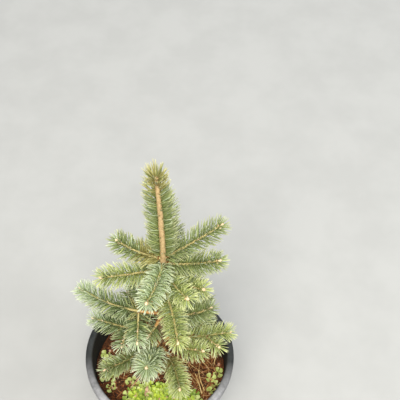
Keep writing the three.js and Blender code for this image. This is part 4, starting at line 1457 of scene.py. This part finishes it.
# %% Rosettes
LEAVES_ROUND, LEAVES_IN_HEART = 4, 3
LEAVES = LEAVES_ROUND + LEAVES_IN_HEART
TUFTS = [
    (-87, 14, 1), (-83, 6, 1), (-80, -28, 2), (-74, -38, 1), (90, -7, 1), (79, -18, 1), (88, -28, 1),
    (-44, -27, 1), (-36, -33, 1), (80, -38, 1), (62, -62, 2), (54, -66, 1),
]
TUFT_SCATTER, TUFT_SUNK, TUFT_SIZE = 5.5, 0.2, (7.6, 9.2)
MAT_PLANTS, MAT_LEFT_END = 132, -50
MAT_SPREAD = (MAT_HALF_WIDTH - 5, MAT_HALF_DEPTH - 4)
PLANT_SCATTER, PLANT_HEIGHT, PLANT_SIZE = 1.8, (-2.6, 1.2), (6.2, 8.6)
MAT_GREENS = {
    "lime_leaves": ((184, 200, 68), (150, 174, 48), 0.45),
    "green_leaves": ((150, 170, 66), (116, 142, 48), 0.3),
    "pale_leaves": ((188, 196, 116), (160, 174, 88), 0.25),
}
PALEST = 2


def rosettes(x, y, z, size, random):
    """Centres, forward ways, upward ways and sizes of the leaves of plants at given places."""
    many = (len(x), LEAVES)
    order = np.arange(LEAVES)[None, :]
    heart = order >= LEAVES_ROUND
    step = np.where(heart, 2 * math.pi / LEAVES_IN_HEART, 2 * math.pi / LEAVES_ROUND)
    angle = order * step + random.random((len(x), 1)) * 6.3 + random.normal(0, 0.16, many)
    steep = np.where(heart, 1.1, 0.3) + random.normal(0, 0.2, many)
    rolled = random.normal(0, 0.28, many)
    forward = circle(angle) + UP * steep[..., None]
    inward = UP - circle(angle) * steep[..., None] + circle(angle + math.pi / 2) * rolled[..., None]
    centres = np.stack([x, y, z], -1)[:, None] + forward * 0.4
    scale = size[:, None] * np.where(heart, 0.5, 1.0) * random.uniform(0.85, 1.15, many)
    return [value.reshape(-1, 3) for value in (centres, forward, inward, np.repeat(scale[..., None], 3, -1))]


mat_random = np.random.default_rng(61)
order = np.arange(MAT_PLANTS) + 0.5
spiral = circle(order * GOLDEN_ANGLE, np.sqrt(order / MAT_PLANTS))
mat_x, mat_y = [
    MAT_CENTRE[k] + MAT_SPREAD[k] * spiral[:, k] + mat_random.normal(0, PLANT_SCATTER, MAT_PLANTS)
    for k in (0, 1)
]
mat_z = mat_height(mat_x, mat_y) + mat_random.uniform(*PLANT_HEIGHT, MAT_PLANTS)
mat_x, mat_y, mat_z = [values[mat_x > MAT_LEFT_END] for values in (mat_x, mat_y, mat_z)]
tuft_x, tuft_y = [
    np.concatenate([tuft[k] + mat_random.normal(0, TUFT_SCATTER * (tuft[2] > 1), tuft[2]) for tuft in TUFTS])
    for k in (0, 1)
]
tuft_z = ground(tuft_x, tuft_y) - TUFT_SUNK
plant_places = stacked([(mat_x, mat_y, mat_z), (tuft_x, tuft_y, tuft_z)])
plant_sizes = np.concatenate([
    mat_random.uniform(*PLANT_SIZE, len(mat_x)), mat_random.uniform(*TUFT_SIZE, len(tuft_x)),
])
plants = rosettes(*plant_places, plant_sizes, mat_random)
greens = mat_random.choice(len(MAT_GREENS), len(mat_x), p=[share for *_, share in MAT_GREENS.values()])
greens = np.repeat(np.concatenate([greens, PALEST + 0 * tuft_x]), LEAVES)
leaf_shape = blade_shape([0, 0.36, 0.7, 0.96, 1.02], [0, 0.2, 0.45, 0.33, 0], 0.9, 0.12, 0.62, 0.0, -0.1)
for number, (leaf_name, (leaf_tone, other_tone, _)) in enumerate(MAT_GREENS.items()):
    centres, forward, inward, sizes = [value[greens == number] for value in plants]
    leaf_skin = two_tone(leaf_name, leaf_tone, other_tone, 160.0, 0.45, 0.5)
    leaves = strew(leaf_shape, centres, axes_from(forward, inward), sizes)
    dress(leaf_name, leaves, leaf_skin, (), BLADE_SMOOTH)

# %% [markdown]
# ## Litter
# Dead needles, pale peat fibres and straws lie on the compost, most of them on the right. The dead needles
# are the needle shape again, laid flat. A fibre or straw is a thin tube along a curve that wanders from
# side to side. Dry flakes are the bud scale's shape in a larger size.

# %% Fibres, straws, needles and flakes
FIBRE_SAMPLES, FIBRE_SIDES = 9, 4
FIBRE_HEADING = -1.15
FIBRES = dict(count=300, seed=71, longest=22, thickest=0.45, middle_x=12, bent=0.08, lifted=0.5, swung=3.0)
STRAWS = dict(count=46, seed=73, longest=30, thickest=0.62, middle_x=54, bent=0.012, lifted=0.8, swung=0.55)
DEAD_NEEDLES = 620
FLAKES, FLAKE_SIZE, FLAKE_TILT = 90, (2.5, 5.5), 0.3


def litter(name, tone, other):
    """Dry plant matter in two tones."""
    return two_tone(name, tone, other, 110.0, 0.75, 0.35)


def fibre_tubes(count, seed, longest, thickest, middle_x, bent, lifted, swung):
    """Thin fibres that lie on the ground: a straight middle line, plus a wave sideways and a low hump."""
    random = np.random.default_rng(seed)
    x, y = scatter_disc(count, COMPOST_RADIUS - 22, random)
    x = middle_x + x * (1 - abs(middle_x) / COMPOST_RADIUS)
    heading = random.normal(FIBRE_HEADING, swung, count)[:, None]
    length = (random.uniform(0.3, 1.0, count) * longest)[:, None]
    t = np.linspace(-0.5, 0.5, FIBRE_SAMPLES)[None, :]
    wander = bent * (random.uniform(-3, 3, (count, 1)) * np.cos(math.pi * t) + np.sin(9 * t)) * length
    px = x[:, None] + np.cos(heading) * length * t - np.sin(heading) * wander
    py = y[:, None] + np.sin(heading) * length * t + np.cos(heading) * wander
    inside = np.minimum(1, (COMPOST_RADIUS - 2) / np.hypot(px, py))
    px, py = px * inside, py * inside
    pz = ground(px, py).max(1, keepdims=True) + random.uniform(-0.4, 1.0, (count, 1))
    middle = np.stack([px, py, pz + lifted * np.cos(math.pi * t)], -1)
    way = unit(np.gradient(middle, axis=1))
    sideways = unit(np.cross(UP, way))
    upper = np.cross(way, sideways)
    thick = random.uniform(0.45, 1.0, (count, 1, 1)) * thickest * (1 - 0.5 * np.abs(2 * t[..., None]) ** 3)
    out = spin(upper[:, :, None], -sideways[:, :, None], angles_round(FIBRE_SIDES))
    return join([closed_sheet(ring) for ring in middle[:, :, None] + thick[..., None] * out])


def fallen_needles(count, seed):
    """Dead needles lying flat on the ground, each in its own direction, and most of them on the right."""
    random = np.random.default_rng(seed)
    x, y = scatter_disc(count, COMPOST_RADIUS - 11, random)
    x = np.where(np.arange(count) % 2, np.abs(x), x)
    heading = random.random(count) * 2 * math.pi
    way = unit(circle(heading) + UP * random.uniform(-0.05, 0.18, (count, 1)))
    length = random.uniform(11, 18, count)
    root = np.stack([x, y, ground(x, y) + 1.0], -1) - way * length[:, None] / 2
    bend = circle(heading + math.pi / 2) * random.uniform(-0.08, 0.08, (count, 1))
    width = random.uniform(0.8, 1.1, count)
    return needles(root, way, bend, length, width, random.random(count))[:2]


def dry_flakes(count, seed):
    """Flakes on the compost and on the mat, lying nearly flat."""
    random = np.random.default_rng(seed)
    x, y = scatter_disc(count, COMPOST_RADIUS - 8, random)
    on_mat = mat_height(x, y)
    z = np.maximum(ground(x, y) + 1.2, on_mat + 2.4 * (on_mat > COMPOST_TOP + 0.5))
    ways = np.stack([*random.normal(size=(2, count)), random.normal(0, FLAKE_TILT, count)], -1)
    axes = axes_from(ways, np.tile(UP, (count, 1)))
    sizes = random.uniform(*FLAKE_SIZE, (count, 1)) * np.ones(3)
    return strew(scale_shape, np.stack([x, y, z], -1), axes, sizes)


golden_straw = litter("golden_straw", (228, 200, 138), (192, 150, 90))
peat_fibre = litter("peat_fibre", (178, 132, 76), (134, 90, 50))
dead_needle = litter("dead_needle", (182, 126, 72), (118, 74, 42))
dry_flake = litter("dry_flake", (204, 166, 136), (164, 120, 90))
dress("peat_fibres", fibre_tubes(**FIBRES), peat_fibre, (), 0)
dress("straws", fibre_tubes(**STRAWS), golden_straw, (), 0)
dress("fallen_needles", fallen_needles(DEAD_NEEDLES, 72), dead_needle, (), 0)
dress("dry_flakes", dry_flakes(FLAKES, 74), dry_flake, (), BLADE_SMOOTH)

# %% [markdown]
# A few larger things lie where the photograph shows them: three long straws on the right, and a fallen twig
# and two curled dry leaves in front of the trunk, on its left. The straws and the twig are tubes along
# curves, and a leaf is a sheet whose rise is a sum of two curves and a wave.

# %% Long straws, the fallen twig and dry leaves
FALLEN_TWIG = np.array([[-29.0, -19.0, 158.5], [-35.5, -28.5, 158.8], [-44.0, -40.0, 156.2]])
LONG_STRAWS = np.array([
    [[60, -6, 156], [63, -22, 157.5], [70, -39, 156]],
    [[55, -12, 156], [61, -28, 158], [66, -45, 157]],
    [[84, 6, 156], [85.5, 16, 157.5], [85, 27, 156]],
])
DRY_LEAVES = [((-18.5, -45.5, 161.3), 1.45, 18, 5.5), ((-15.5, -49.5, 161.8), 1.15, 12, 4.5)]
LYING_BEND = 0.5
LYING_SMOOTH = 60


def lying_tube(stations, samples, sides, step, surface):
    """A tube along a smooth line through a few stations."""
    line = measured(smooth_line(stations, LYING_BEND, samples))
    return stem_tube(line, 0, line[1][-1], sides, step, surface)


def straw_surface(distance, angle):
    """A straw's radius: nearly even, with low joints."""
    return 0.75 + 0.1 * np.cos(distance) + 0 * angle


def fallen_surface(distance, angle):
    """The fallen twig's radius: pegs, on a taper that is slight."""
    return 0.95 + 0.25 * pegs(distance, angle, TWIG_TURNS, 2.6) - 0.012 * distance


def dry_leaf(centre, heading, length, width):
    """A curled leaf: an almond outline with raised edges and tip, as a top sheet and a bottom sheet."""
    t = np.linspace(0.02, 0.98, 15)[:, None]
    turn = angles_round(16)[None, :]
    across = np.cos(turn) * np.sin(math.pi * t) ** 0.7 * width / 2
    along = (t - 0.5) * length + 0 * turn
    thick = 0.35 * np.sin(turn) * np.sin(math.pi * t) ** 0.4
    rise = 0.09 * across**2 + 2.4 * (t - 0.4) ** 2 + 0.5 * np.cos(6 * math.pi * t) * np.abs(across) / width
    x = centre[0] + along * math.cos(heading) - across * math.sin(heading)
    y = centre[1] + along * math.sin(heading) + across * math.cos(heading)
    return closed_sheet(np.stack([x, y, centre[2] + rise + thick], -1))


long_tubes = join([lying_tube(stations, 14, 6, 1.6, straw_surface) for stations in LONG_STRAWS])
fallen_tube = lying_tube(FALLEN_TWIG, 20, 8, 0.8, fallen_surface)
fallen_bark = litter("fallen_twig", (206, 164, 132), (170, 124, 94))
leaf_skin = litter("dry_leaf", (206, 174, 140), (146, 112, 84))
dress("long_straws", long_tubes, golden_straw, (), LYING_SMOOTH)
dress("fallen_twig", fallen_tube, fallen_bark, (), LYING_SMOOTH)
dress("dry_leaves", join([dry_leaf(*row) for row in DRY_LEAVES]), leaf_skin, (), LYING_SMOOTH)
